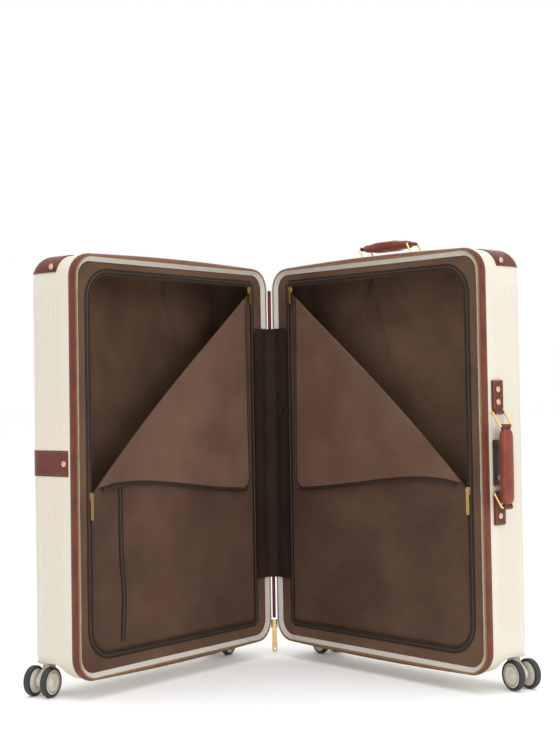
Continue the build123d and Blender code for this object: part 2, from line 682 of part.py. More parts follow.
BUTTON_W, BUTTON_D = 44.0, 11.0
with BuildPart() as trolley_grip:
    with BuildSketch(level(GRIP_Z0)):
        with Locations((S_MID, (GRIP_D0 + GRIP_D1) / 2)):
            RectangleRounded(GRIP_W, GRIP_D1 - GRIP_D0, 5)
    extrude(amount=GRIP_Z1 - GRIP_Z0)
    fillet(trolley_grip.faces().sort_by(Axis.Z)[-1].edges(), 4)
    with BuildSketch(level(GRIP_Z1 - 6)):
        with Locations((S_MID, (GRIP_D0 + GRIP_D1) / 2)):
            RectangleRounded(BUTTON_W + 0.6, BUTTON_D + 0.6, 3.3)
    extrude(amount=10, mode=Mode.SUBTRACT)
finish(trolley_grip, "trolley_grip")

with BuildPart() as trolley_button:
    with BuildSketch(level(GRIP_Z1 - 2.6)):
        with Locations((S_MID, (GRIP_D0 + GRIP_D1) / 2)):
            RectangleRounded(BUTTON_W, BUTTON_D, 3)
    extrude(amount=3.2)
finish(trolley_button, "trolley_button")

# ---------------------------------------------------------------- casters
FLANGE_R, FLANGE_Z = 20.0, 54.0
COLLAR_R, COLLAR_Z0, COLLAR_Z1 = 10.5, 44.0, 53.4
PIN_TOP = 59.5

with BuildPart() as caster_housings:
    with BuildSketch(level(FLANGE_Z)):
        with Locations(*caster_places):
            Circle(FLANGE_R)
    extrude(amount=CASTER_CEILING - FLANGE_Z)
    with BuildSketch(level(CASTER_CEILING)):
        with Locations(*caster_places):
            Circle(SOCKET_R)
    extrude(amount=WALL + 0.8)
    with BuildSketch(level(FLANGE_Z)):
        with Locations(*caster_places):
            Circle(PIN_R + RUN)
    extrude(amount=10, mode=Mode.SUBTRACT)
finish(caster_housings, "back_caster_housings")
mirrored(caster_housings, "front_caster_housings")

yaw = radians(CASTER_YAW)
axle_way = (-INTO * cos(yaw) - ALONG * sin(yaw)).normalized()
trail_way = UP.cross(axle_way)


def across(spot, offset):
    """Plane square to the axle of the caster at spot; sketches are (trail, z)."""
    return Plane(origin=place(*spot, 0) + axle_way * offset, x_dir=trail_way, z_dir=trail_way.cross(UP))


def disc(spot, middle, width, radius, bore):
    """A plain disc on the axle line, middle at the given distance along the axle."""
    with BuildPart() as plate:
        with BuildSketch(across(spot, 0).offset(middle - width / 2)):
            with Locations((TRAIL, WHEEL_R)):
                Circle(radius)
                Circle(bore, mode=Mode.SUBTRACT)
        extrude(amount=width)
    return plate.part


def make_caster(spot, number):
    """Fork, axle, hubs and tyres of one twin-wheel caster, and their images on the front half."""
    with BuildPart() as fork:
        with BuildSketch(across(spot, 0)) as arm:
            with BuildLine():
                Polyline(
                    (-9, COLLAR_Z1), (9, COLLAR_Z1), (10, 46), (TRAIL + 8, WHEEL_R + 6),
                    (TRAIL + 4, WHEEL_R - 8), (TRAIL - 8, WHEEL_R - 5), (-6, 42), (-9, COLLAR_Z1),
                )
            make_face()
            with Locations((TRAIL, WHEEL_R)):
                Circle(9.5)
        extrude(amount=7, both=True)
        with BuildSketch(level(COLLAR_Z0)):
            with Locations(spot):
                Circle(COLLAR_R)
        extrude(amount=COLLAR_Z1 - COLLAR_Z0)
        with BuildSketch(level(COLLAR_Z1 - 2)):
            with Locations(spot):
                Circle(PIN_R)
        extrude(amount=PIN_TOP - COLLAR_Z1 + 2)
        with BuildSketch(across(spot, 0)):
            with Locations((TRAIL, WHEEL_R)):
                Circle(AXLE_R + RUN)
        extrude(amount=30, both=True, mode=Mode.SUBTRACT)

    with BuildPart() as axle:
        with BuildSketch(across(spot, 0)):
            with Locations((TRAIL, WHEEL_R)):
                Circle(AXLE_R)
        extrude(amount=WHEEL_GAUGE / 2 + 2, both=True)

    left, right = -WHEEL_GAUGE / 2, WHEEL_GAUGE / 2
    with BuildPart() as hubs:
        add(disc(spot, left, WHEEL_T - 2, HUB_R, AXLE_R))
        add(disc(spot, right, WHEEL_T - 2, HUB_R, AXLE_R))

    with BuildPart() as tyres:
        add(disc(spot, left, WHEEL_T, WHEEL_R, HUB_R + RUN))
        add(disc(spot, right, WHEEL_T, WHEEL_R, HUB_R + RUN))
        rims = tyres.edges().filter_by(GeomType.CIRCLE).filter_by(lambda e: e.radius > HUB_R + 1)
        fillet(rims, 3.4)

    for part_name, piece in (("fork", fork), ("axle", axle), ("hubs", hubs), ("tyres", tyres)):
        finish(piece, f"back_caster_{number}_{part_name}")
        mirrored(piece, f"front_caster_{number}_{part_name}")


for number, spot in enumerate(caster_places, start=1):
    make_caster(spot, number)
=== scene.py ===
# %% [markdown]
# # A hard-shell spinner suitcase, standing open
# The structure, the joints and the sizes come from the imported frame. This lesson dresses that frame:
# ribbed polycarbonate, leather, brass, zips, woven linings and casters. Lengths are metres, and most
# pieces are made in the axes of one half of the case: s runs from the hinge line along the mouth,
# d runs from the mouth into the depth, and z runs up.
# %% Load the frame
import json
import math

import bmesh
import bpy
from mathutils import Matrix, Vector, noise


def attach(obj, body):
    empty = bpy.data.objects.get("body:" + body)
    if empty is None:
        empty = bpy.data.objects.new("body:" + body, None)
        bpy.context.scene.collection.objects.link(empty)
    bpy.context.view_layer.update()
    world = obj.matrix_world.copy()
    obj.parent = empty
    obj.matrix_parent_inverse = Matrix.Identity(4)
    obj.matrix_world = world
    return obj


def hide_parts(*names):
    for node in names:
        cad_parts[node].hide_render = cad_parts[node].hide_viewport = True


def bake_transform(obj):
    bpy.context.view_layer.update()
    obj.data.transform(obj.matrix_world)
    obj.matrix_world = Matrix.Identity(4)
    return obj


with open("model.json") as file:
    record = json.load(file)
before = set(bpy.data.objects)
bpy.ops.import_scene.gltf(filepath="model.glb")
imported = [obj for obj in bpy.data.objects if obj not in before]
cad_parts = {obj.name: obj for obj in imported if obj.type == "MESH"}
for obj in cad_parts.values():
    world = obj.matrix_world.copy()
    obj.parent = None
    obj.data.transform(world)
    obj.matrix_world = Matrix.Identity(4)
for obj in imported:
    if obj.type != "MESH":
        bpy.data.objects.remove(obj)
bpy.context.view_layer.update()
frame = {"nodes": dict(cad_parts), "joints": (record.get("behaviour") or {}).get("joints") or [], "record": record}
NODES = frame["nodes"]
JOINTS = {joint["name"]: joint for joint in frame["joints"]}

# %% [markdown]
# The camera is set first. It stands in front of the open mouth, a little to the left and at about
# two thirds of the case's height, and it looks slightly upwards with a small tilt.
# %% Camera
HINGE = Vector(JOINTS["case_hinge"]["pos_m"])
HINGE.z = 0.0
CAMERA_AT = HINGE + Vector((-0.091, -2.691, 0.5047))
CAMERA_PITCH = math.radians(90 + 2.04)
CAMERA_ROLL = math.radians(-0.84)
camera_data = bpy.data.cameras.new("camera")
camera_data.lens = 66.9
camera_data.shift_x = 0.0763
camera_data.shift_y = -0.0395
camera = bpy.data.objects.new("camera", camera_data)
camera.matrix_world = (
    Matrix.Translation(CAMERA_AT)
    @ Matrix.Rotation(CAMERA_PITCH, 4, "X")
    @ Matrix.Rotation(CAMERA_ROLL, 4, "Z")
)
bpy.context.scene.collection.objects.link(camera)
bpy.context.scene.camera = camera
print("camera at", [round(v, 3) for v in CAMERA_AT])

# %% [markdown]
# The two halves are mirror images, so each has its own matrix from (s, d, z) to the room. The front
# half's matrix mirrors, which turns faces inside out, so its pieces have their faces reversed.
# %% The two halves' axes
MM = 0.001
OPENING = math.radians(79.5)
WIDTH, HEIGHT, DEPTH = 515 * MM, 710 * MM, 121 * MM
SPINE, LIFT = 6 * MM, 32 * MM
MOUTH_R, BACK_R = 40 * MM, 30 * MM
S_OUT, TOP = SPINE + WIDTH, LIFT + HEIGHT
S_MID = SPINE + WIDTH / 2
along = Vector((math.sin(OPENING / 2), -math.cos(OPENING / 2), 0))
into = Vector((math.cos(OPENING / 2), math.sin(OPENING / 2), 0))
back_axes = Matrix((along, into, Vector((0, 0, 1)))).transposed().to_4x4()
FLIP = Matrix.Scale(-1, 4, Vector((1, 0, 0)))
AXES = {"back": Matrix.Translation(HINGE) @ back_axes}
AXES["front"] = FLIP @ AXES["back"]
HALVES = ("back", "front")


def in_half(s, d, z, half="back"):
    """Room position of a point given in a half's axes."""
    return AXES[half] @ Vector((s, d, z))


# %% [markdown]
# Every finished mesh goes through one function, which moves it from the half's axes to the room,
# gives it its finish and tells the frame which body carries it and which plain nodes it stands for.
# %% Deliver a piece
def deliver(bm, name, half, finish, body, stands_for=(), smooth=35):
    """Turn a bmesh in a half's axes (or the room's, when half is None) into a finished object."""
    if half:
        bm.transform(AXES[half])
    if half == "front":
        bmesh.ops.reverse_faces(bm, faces=bm.faces)
    for face in bm.faces:
        face.smooth = smooth > 0
    if smooth:
        limit = math.radians(smooth)
        for edge in bm.edges:
            if len(edge.link_faces) == 2 and edge.calc_face_angle(0) > limit:
                edge.smooth = False
    mesh = bpy.data.meshes.new(name)
    bm.to_mesh(mesh)
    bm.free()
    piece = bpy.data.objects.new(name, mesh)
    bpy.context.scene.collection.objects.link(piece)
    mesh.materials.append(finish)
    if body:
        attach(piece, body)
    if stands_for:
        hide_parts(*stands_for)
    return piece


# %% [markdown]
# Materials are built from one helper that adds a node with its settings and links. Colours are
# written as sRGB hex and turned to linear light here.
# %% Colour and node helpers
def linear(code):
    """An sRGB hex colour as linear RGBA."""
    out = []
    for start in (0, 2, 4):
        value = int(code[start:start + 2], 16) / 255
        out.append(value / 12.92 if value <= 0.04045 else ((value + 0.055) / 1.055) ** 2.4)
    return (*out, 1.0)


def add_node(tree, kind, inputs=None, **settings):
    """Add a node; inputs maps socket names to values or to other nodes' output sockets."""
    node = tree.nodes.new(kind)
    for key, value in settings.items():
        setattr(node, key, value)
    for key, value in (inputs or {}).items():
        socket = node.inputs[key]
        if isinstance(value, bpy.types.NodeSocket):
            tree.links.new(value, socket)
        else:
            socket.default_value = value
    return node


def new_finish(name, **shader):
    """A material with a Principled shader whose named sockets are set."""
    finish = bpy.data.materials.new(name)
    finish.use_nodes = True
    tree = finish.node_tree
    surface = next(node for node in tree.nodes if node.type == "BSDF_PRINCIPLED")
    for key, value in shader.items():
        surface.inputs[key.replace("_", " ")].default_value = value
    place = add_node(tree, "ShaderNodeTexCoord").outputs["Object"]
    return finish, tree, surface, place


def two_tone(tree, factor, low, high):
    """A ramp between two hex colours."""
    ramp = add_node(tree, "ShaderNodeValToRGB", {"Fac": factor})
    ramp.color_ramp.elements[0].color = linear(low)
    ramp.color_ramp.elements[1].color = linear(high)
    return ramp


def bump(tree, surface, height, strength, distance):
    """Feed a height into the shader's normal."""
    node = add_node(
        tree, "ShaderNodeBump", {"Height": height, "Strength": strength, "Distance": distance}
    )
    tree.links.new(node.outputs["Normal"], surface.inputs["Normal"])


# %% [markdown]
# ## Shell: vacuum-formed polycarbonate
# The sheet is tinted cream right through and comes off the mould with a satin skin, so the colour is
# almost even and the gloss is broken only by a very fine orange peel.
# %% Polycarbonate
def make_polycarbonate():
    finish, tree, surface, place = new_finish("polycarbonate_formed", Roughness=0.36, IOR=1.58)
    cloud = add_node(tree, "ShaderNodeTexNoise", {"Vector": place, "Scale": 6.0, "Detail": 2.0})
    tone = two_tone(tree, cloud.outputs["Fac"], "CAC2B3", "D2CBBD")
    tree.links.new(tone.outputs["Color"], surface.inputs["Base Color"])
    peel = add_node(tree, "ShaderNodeTexNoise", {"Vector": place, "Scale": 900.0, "Detail": 1.0})
    bump(tree, surface, peel.outputs["Fac"], 0.12, 0.0002)
    return finish


POLYCARBONATE = make_polycarbonate()

# %% [markdown]
# ## Leather
# Full-grain hide, dyed red-brown and waxed. Its pebble grain is about 0.9 mm, drawn at 1.4 mm so
# that it shows; darker dye gathers in broad patches.
# %% Leather
GRAIN = 1 / (1.4 * MM)


def make_leather(name, low, high, rough):
    finish, tree, surface, place = new_finish(name, Roughness=rough, IOR=1.5)
    surface.inputs["Coat Weight"].default_value = 0.05
    surface.inputs["Specular IOR Level"].default_value = 0.35
    surface.inputs["Coat Roughness"].default_value = 0.3
    patch = add_node(
        tree, "ShaderNodeTexNoise", {"Vector": place, "Scale": 26.0, "Detail": 5.0, "Roughness": 0.65}
    )
    tone = two_tone(tree, patch.outputs["Fac"], low, high)
    tone.color_ramp.elements[0].position = 0.3
    tone.color_ramp.elements[1].position = 0.72
    tree.links.new(tone.outputs["Color"], surface.inputs["Base Color"])
    pebble = add_node(tree, "ShaderNodeTexVoronoi", {"Vector": place, "Scale": GRAIN})
    bump(tree, surface, pebble.outputs["Distance"], 0.28, 0.0004)
    return finish


LEATHER = make_leather("leather_waxed", "4A1A0C", "6B2B18", 0.45)
LEATHER_GRIP = make_leather("leather_polished_grip", "5E1E0E", "833A25", 0.34)

# %% [markdown]
# ## Woven linings
# The lining is a polyester twill. Threads are 0.3 mm, far below what shows, so the diagonal rib is
# drawn 1.6 mm apart. Yarn lots differ, which gives faint cloudy variation, and a little sheen
# brightens the cloth at grazing angles.
# %% Cloth
def make_cloth(name, low, high, rib_mm=1.6, sheen=0.25):
    finish, tree, surface, place = new_finish(name, Roughness=0.82)
    surface.inputs["Sheen Weight"].default_value = sheen
    surface.inputs["Sheen Roughness"].default_value = 0.45
    surface.inputs["Sheen Tint"].default_value = linear("B08D78")
    surface.inputs["Specular IOR Level"].default_value = 0.25
    cloud = add_node(tree, "ShaderNodeTexNoise", {"Vector": place, "Scale": 9.0, "Detail": 4.0})
    rib_scale = 1 / (rib_mm * MM) / 6.283 * 2
    weft = add_node(
        tree, "ShaderNodeTexWave", {"Vector": place, "Scale": rib_scale, "Distortion": 0.4},
        bands_direction="DIAGONAL",
    )
    warp = add_node(
        tree, "ShaderNodeTexWave", {"Vector": place, "Scale": rib_scale * 1.3, "Distortion": 0.4},
        bands_direction="Z",
    )
    weave = add_node(
        tree, "ShaderNodeMath", {0: weft.outputs["Fac"], 1: warp.outputs["Fac"]}, operation="MULTIPLY"
    )
    mixed = add_node(
        tree, "ShaderNodeMath", {0: weave.outputs[0], 1: 0.35, 2: cloud.outputs["Fac"]},
        operation="MULTIPLY_ADD",
    )
    tone = two_tone(tree, mixed.outputs[0], low, high)
    tone.color_ramp.elements[0].position = 0.35
    tone.color_ramp.elements[1].position = 0.95
    tree.links.new(tone.outputs["Color"], surface.inputs["Base Color"])
    bump(tree, surface, weave.outputs[0], 0.35, 0.0005)
    return finish


LINING = make_cloth("polyester_twill_lining", "4A3628", "6E5341", sheen=0.18)
PANEL_CLOTH = make_cloth("polyester_twill_panel", "402D22", "604738", sheen=0.2)
ZIP_CLOTH = make_cloth("polyester_zip_tape", "241912", "37281E", sheen=0.1)
# The flap's twill is the panel's cloth coloured paler: painted light, for the light that falls on the hanging
# flap.
FLAP_REVERSE_PAINTED_LIGHT = make_cloth("lining_reverse_painted_light", "503A2D", "725646", sheen=0.28)
COVER = make_cloth("dark_twill_tape", "1A120A", "302316", rib_mm=2.4, sheen=0.1)

# %% [markdown]
# ## Coated facing, metals and mouldings
# The zip band is faced with off-white coated cloth. Fittings are lacquered brass; the rivets are
# copper; the lock is dark zinc; the trolley is anodised aluminium; casters are nylon with
# polyurethane tyres.
# %% Plain finishes
def make_fine(name, low, high, scale, bump_strength, bump_distance, **shader):
    finish, tree, surface, place = new_finish(name, **shader)
    cloud = add_node(tree, "ShaderNodeTexNoise", {"Vector": place, "Scale": scale, "Detail": 3.0})
    tone = two_tone(tree, cloud.outputs["Fac"], low, high)
    tree.links.new(tone.outputs["Color"], surface.inputs["Base Color"])
    grit = add_node(tree, "ShaderNodeTexNoise", {"Vector": place, "Scale": 1400.0, "Detail": 2.0})
    bump(tree, surface, grit.outputs["Fac"], bump_strength, bump_distance)
    return finish


RIVET_COPPER = make_fine(
    "copper_domed", "C99B7C", "DDB598", 60, 0.05, 0.0001, Metallic=1.0, Roughness=0.3
)
VINYL = make_fine("coated_facing", "B9B2A9", "CAC4BB", 40, 0.3, 0.0003, Roughness=0.5)
BRASS = make_fine("brass_lacquered", "E0BB70", "F0D595", 60, 0.05, 0.0001, Metallic=1.0, Roughness=0.3)
TEETH = make_fine("brass_zip_teeth", "A98455", "CBA676", 80, 0.1, 0.0001, Metallic=1.0, Roughness=0.38)
THREAD = make_fine("waxed_thread", "9C6248", "B98064", 300, 0.3, 0.0002, Roughness=0.7)
TAPE = make_fine("zip_tape", "4A1E17", "5E2A20", 200, 0.3, 0.0002, Roughness=0.8)
LOCK_METAL = make_fine(
    "zinc_dark_lacquer", "4A4037", "5A4E43", 50, 0.1, 0.0001, Metallic=0.6, Roughness=0.4
)
STEEL = make_fine("steel_satin", "9B9893", "B3B0AA", 60, 0.1, 0.0001, Metallic=1.0, Roughness=0.32)
ALUMINIUM = make_fine(
    "aluminium_anodised", "A9A59C", "BDB9B0", 40, 0.08, 0.0001, Metallic=1.0, Roughness=0.35
)
CREAM_NYLON = make_fine("nylon_moulded_cream", "BFB8A9", "CAC3B4", 30, 0.15, 0.0002, Roughness=0.5)
HUB_NYLON = make_fine("nylon_moulded_hub", "CEC7B9", "DAD4C7", 30, 0.15, 0.0002, Roughness=0.45)
TYRE = make_fine("polyurethane_tyre", "222020", "2E2C2B", 70, 0.25, 0.0003, Roughness=0.55)
INK = make_fine("pad_print_dark", "34302C", "403B37", 90, 0.1, 0.0001, Roughness=0.6)

# %% [markdown]
# Fittings whose shape is already right in the frame keep it, and only take a real finish.
# %% Finish the carried-over nodes
CARRIED = {
    "leather": LEATHER, "brass": BRASS, "zip_brass": TEETH, "lock_metal": LOCK_METAL,
    "lock_button": STEEL, "tube": ALUMINIUM, "trolley_plastic": CREAM_NYLON, "vinyl": VINYL,
    "caster_plastic": CREAM_NYLON, "hub": HUB_NYLON, "tyre": TYRE, "axle_steel": STEEL,
    "shell": POLYCARBONATE, "lining": LINING, "divider": PANEL_CLOTH,
}
SLOT_OF = {entry["node"]: entry["material_slot"] for entry in frame["record"]["subparts"]}
for name, node in NODES.items():
    for holder in node.material_slots:
        holder.material = CARRIED[SLOT_OF[name]]
print("carried-over nodes given a finish:", len(NODES))


# %% [markdown]
# ## Sweeping along the mouth
# The trim, teeth, facing and zips all follow rounded rectangles. A profile is drawn once, then
# extruded along each run and spun round each turn, as a bending machine would do it.
# %% A sweep made of runs and turns
def travel(bm, profile, start, heading, moves):
    """Sweep a closed outline of (side, depth) points along runs and turns; side is to the left."""
    forward = Vector((math.cos(heading), 0, math.sin(heading)))
    left = Vector((-forward.z, 0, forward.x))
    here = Vector((start[0], 0, start[1]))
    chain = [bm.verts.new(here + left * side + Vector((0, depth, 0))) for side, depth in profile]
    edges = [bm.edges.new(pair) for pair in zip(chain, chain[1:])]
    edges.append(bm.edges.new((chain[-1], chain[0])))
    for kind, amount, *rest in moves:
        if kind == "run":
            for _ in range(rest[0]):
                new = bmesh.ops.extrude_edge_only(bm, edges=edges)["geom"]
                chain = [item for item in new if isinstance(item, bmesh.types.BMVert)]
                edges = [item for item in new if isinstance(item, bmesh.types.BMEdge)
                         and all(vert in chain for vert in item.verts)]
                bmesh.ops.translate(bm, verts=chain, vec=forward * amount / rest[0])
            here = here + forward * amount
        else:
            radius, steps = rest
            centre = here + left * radius * (1 if amount > 0 else -1)
            swept = bmesh.ops.spin(
                bm, geom=chain + edges, cent=centre, axis=(0, 1, 0), angle=-amount, steps=steps,
                use_duplicate=False,
            )["geom_last"]
            chain = [item for item in swept if isinstance(item, bmesh.types.BMVert)]
            edges = [item for item in swept if isinstance(item, bmesh.types.BMEdge)]
            turn = Matrix.Rotation(-amount, 4, "Y")
            here = centre + turn @ (here - centre)
            forward, left = turn @ forward, turn @ left


RIGHT = math.pi / 2


def ramp(value, low, high):
    """0 below low, 1 above high, smooth between."""
    share = max(0.0, min(1.0, (value - low) / (high - low)))
    return share * share * (3 - 2 * share)


def mouth_moves(cuts_across=8, cuts_up=12, turn_steps=14):
    """Once round the mouth outline, anticlockwise from the bottom run."""
    moves = []
    for length, cuts in ((WIDTH, cuts_across), (HEIGHT, cuts_up)) * 2:
        moves += [("run", length - 2 * MOUTH_R, cuts), ("turn", RIGHT, MOUTH_R, turn_steps)]
    return moves


MOUTH_START = (SPINE + MOUTH_R, LIFT)


def mouth_band(profile, **cuts):
    """A band that follows the mouth all round; side is the inset from the outline."""
    bm = bmesh.new()
    travel(bm, profile, MOUTH_START, 0.0, mouth_moves(**cuts))
    bmesh.ops.remove_doubles(bm, verts=bm.verts, dist=0.00001)
    bmesh.ops.recalc_face_normals(bm, faces=bm.faces)
    return bm


def stations(start, heading, moves, pitch, inset=0.0):
    """Evenly spaced places along the same kind of path: a list of (s, z, heading)."""
    s, z = start
    spots, carry = [], 0.0
    for kind, amount, *rest in moves:
        if kind == "run":
            length = amount
        else:
            radius = rest[0]
            turned = abs(amount)
            length = turned * (radius - inset)
            way = 1 if amount > 0 else -1
            cs, cz = s - math.sin(heading) * radius * way, z + math.cos(heading) * radius * way
        count = int((length - carry) / pitch) + 1 if length > carry else 0
        for index in range(count):
            gone = carry + index * pitch
            if kind == "run":
                at_s, at_z, facing = s + math.cos(heading) * gone, z + math.sin(heading) * gone, heading
            else:
                facing = heading + way * gone / (radius - inset)
                at_s, at_z = cs + math.sin(facing) * radius * way, cz - math.cos(facing) * radius * way
            spots.append((at_s - math.sin(facing) * inset, at_z + math.cos(facing) * inset, facing))
        carry = carry + count * pitch - length
        if kind == "run":
            s, z = s + math.cos(heading) * length, z + math.sin(heading) * length
        else:
            heading += amount
            s, z = cs + math.sin(heading) * radius * way, cz - math.cos(heading) * radius * way
    return spots


# %% [markdown]
# ## Zip band
# A leather binding is glued and stitched round the outside of the zip tape; it is slightly plump.
# Inside, an off-white facing slopes from the teeth to the lining's border panel.
# %% Leather trim, stitches, tape, teeth and facing
def plump(inset, thick, d0, d1, crown, steps=7):
    """A band's closed profile with a gently crowned outside."""
    outside = []
    for index in range(steps + 1):
        share = index / steps
        swell = crown * math.sin(math.pi * share)
        outside.append((inset - swell, d0 + (d1 - d0) * share))
    return outside + [(inset + thick, d1), (inset + thick, d0)]


SEAM_DEPTH = 15.4 * MM


def flare(s, d, z):
    """Outward bulge of the soft trim along the top and foot of the mouth, as a change of height."""
    above = z - (LIFT + HEIGHT / 2)
    along = max(0.0, math.sin(math.pi * (s - SPINE) / WIDTH))
    across = math.sin(math.pi * max(0.0, min(1.0, (d - 3.2 * MM) / (14.7 * MM))))
    edge = ramp(abs(above), HEIGHT / 2 - 20 * MM, HEIGHT / 2 - 5 * MM)
    return math.copysign(5 * MM * along * across * edge, above)


def make_trim(half):
    bm = mouth_band(plump(0.2 * MM, 1.8 * MM, 3.2 * MM, 17.9 * MM, 0.9 * MM))
    for vert in bm.verts:
        vert.co.z += flare(vert.co.x, vert.co.y, vert.co.z)
    deliver(bm, f"{half}_leather_trim", half, LEATHER, f"{half}_half", (f"{half}_trim",))
    bm = bmesh.new()
    for s, z, facing in stations(MOUTH_START, 0.0, mouth_moves(), 5.2 * MM, -0.45 * MM):
        spot = (s, SEAM_DEPTH, z + flare(s, SEAM_DEPTH, z))
        lay = (
            Matrix.Translation(spot) @ Matrix.Rotation(-facing, 4, "Y")
            @ Matrix.Diagonal((1.7 * MM, 0.45 * MM, 0.4 * MM, 1))
        )
        bmesh.ops.create_icosphere(bm, subdivisions=1, radius=1, matrix=lay)
    deliver(bm, f"{half}_trim_stitches", half, THREAD, f"{half}_half", smooth=60)


TOOTH_PITCH = 3.0 * MM


def make_zip(half):
    """Woven tape with a row of brass teeth that stand out of its edge."""
    tape = [(2.1 * MM, 1.6 * MM), (2.1 * MM, 17 * MM), (2.8 * MM, 17 * MM), (2.8 * MM, 1.6 * MM)]
    bm = mouth_band(tape)
    deliver(bm, f"{half}_zip_tape", half, TAPE, f"{half}_half")
    bm = bmesh.new()
    for s, z, facing in stations(MOUTH_START, 0.0, mouth_moves(), TOOTH_PITCH, 2.4 * MM):
        lay = Matrix.Translation((s, 1.9 * MM, z)) @ Matrix.Rotation(-facing, 4, "Y")
        size = Matrix.Diagonal((1.5 * MM, 2.8 * MM, 3.4 * MM, 1))
        bmesh.ops.create_cube(bm, size=1, matrix=lay @ size)
    made = deliver(
        bm, f"{half}_brass_teeth", half, TEETH, f"{half}_half",
        (f"{half}_zip_teeth",), smooth=0,
    )
    print(made.name, "teeth", len(made.data.polygons) // 6)


def make_facing(half):
    profile = [
        (3.1 * MM, 2.4 * MM), (4.2 * MM, 2.2 * MM), (5.6 * MM, 3.2 * MM), (7.6 * MM, 4.6 * MM),
        (9.2 * MM, 6.0 * MM), (10.8 * MM, 7.0 * MM), (11.6 * MM, 7.5 * MM),
        (11.4 * MM, 7.9 * MM), (8.6 * MM, 6.8 * MM), (5 * MM, 5.0 * MM), (3.1 * MM, 4.4 * MM),
    ]
    bm = mouth_band(profile, cuts_across=30, cuts_up=40, turn_steps=24)
    for vert in bm.verts:
        inset_side = min(vert.co.x - SPINE, S_OUT - vert.co.x, vert.co.z - LIFT, TOP - vert.co.z)
        loose = max(0.0, min(1.0, (inset_side - 4 * MM) / (8 * MM)))
        wave = noise.noise(Vector((vert.co.x * 60, 7.0, vert.co.z * 60)))
        vert.co.y += wave * 0.8 * MM * loose
    deliver(bm, f"{half}_facing", half, VINYL, f"{half}_half", (f"{half}_vinyl",), smooth=50)


for half in HALVES:
    make_trim(half)
    make_zip(half)
    make_facing(half)


# %% [markdown]
# ## Ribbed shells
# The sheet is formed over a grooved mould. Here the frame's shell is copied, its outer skin is cut
# along every groove with bisecting planes, and the middle line of each groove is pushed in. The
# grooves fade out near the corners, where the real sheet stretches smooth.
# %% Groove cutting
GROOVE_PITCH = 6.2 * MM
GROOVE_HALF = 1.3 * MM
GROOVE_DEPTH = 1.0 * MM
SMOOTH_LIP = 34 * MM
CORNER_D = DEPTH - BACK_R
FADE_START, FADE_END = 58 * MM, 72 * MM      # the side grooves fade out over this reach from an end
PLAIN_FOOT = LIFT + 30 * MM                  # no grooves on the base's rounding


def outer_faces(bm):
    """Faces of the outer skin between the rim and the big face."""
    found = []
    for face in bm.faces:
        c, n = face.calc_center_median(), face.normal
        if c.y < 18.5 * MM and abs(n.y) > 0.9:
            continue
        reach = (c.x - S_MID) * n.x + (c.z - LIFT - HEIGHT / 2) * n.z + (c.y - DEPTH / 2) * n.y
        if reach > 0:
            found.append(face)
    return found


def cut(bm, faces, point, normal):
    """Bisect the given faces and return them with their new neighbours."""
    edges = {edge for face in faces for edge in face.edges}
    verts = {vert for edge in edges for vert in edge.verts}
    geom = list(faces) + list(edges) + list(verts)
    out = bmesh.ops.bisect_plane(
        bm, geom=geom, dist=0.000002, plane_co=point, plane_no=normal, use_snap_center=False,
    )
    return [item for item in out["geom"] if isinstance(item, bmesh.types.BMFace)]


def in_region(faces, test):
    kept, rest = [], []
    for face in faces:
        (kept if test(face.calc_center_median()) else rest).append(face)
    return kept, rest


face_lines = [S_MID + (index - 34) * GROOVE_PITCH for index in range(69)]
side_lines = [CORNER_D - index * GROOVE_PITCH for index in range(1, 10)]
corner_count = 8


def groove_weight(co):
    """How deep the groove is at a point, from 0 to 1."""
    on_face = SPINE + BACK_R - MM < co.x < S_OUT - BACK_R + MM
    end = min(co.z - LIFT, TOP - co.z)
    if on_face and co.y > CORNER_D - MM:
        return ramp(co.x - SPINE, 28 * MM, 34 * MM) * ramp(S_OUT - co.x, 28 * MM, 34 * MM)
    if on_face:
        return ramp(co.y, SMOOTH_LIP, SMOOTH_LIP + 6 * MM)
    return ramp(end, FADE_START, FADE_END) * ramp(co.y, SMOOTH_LIP - 4 * MM, SMOOTH_LIP + 4 * MM)


def groove_phase(co):
    """Distance from a point to the nearest groove's middle line."""
    if SPINE + BACK_R < co.x < S_OUT - BACK_R:
        return min(abs(co.x - line) for line in face_lines)
    if co.y < CORNER_D:
        return min(abs(co.y - line) for line in side_lines)
    side_s = S_OUT - BACK_R if co.x > S_MID else SPINE + BACK_R
    angle = math.atan2(co.y - CORNER_D, abs(co.x - side_s))
    step = RIGHT / corner_count
    return abs(angle / step - round(angle / step)) * step * BACK_R


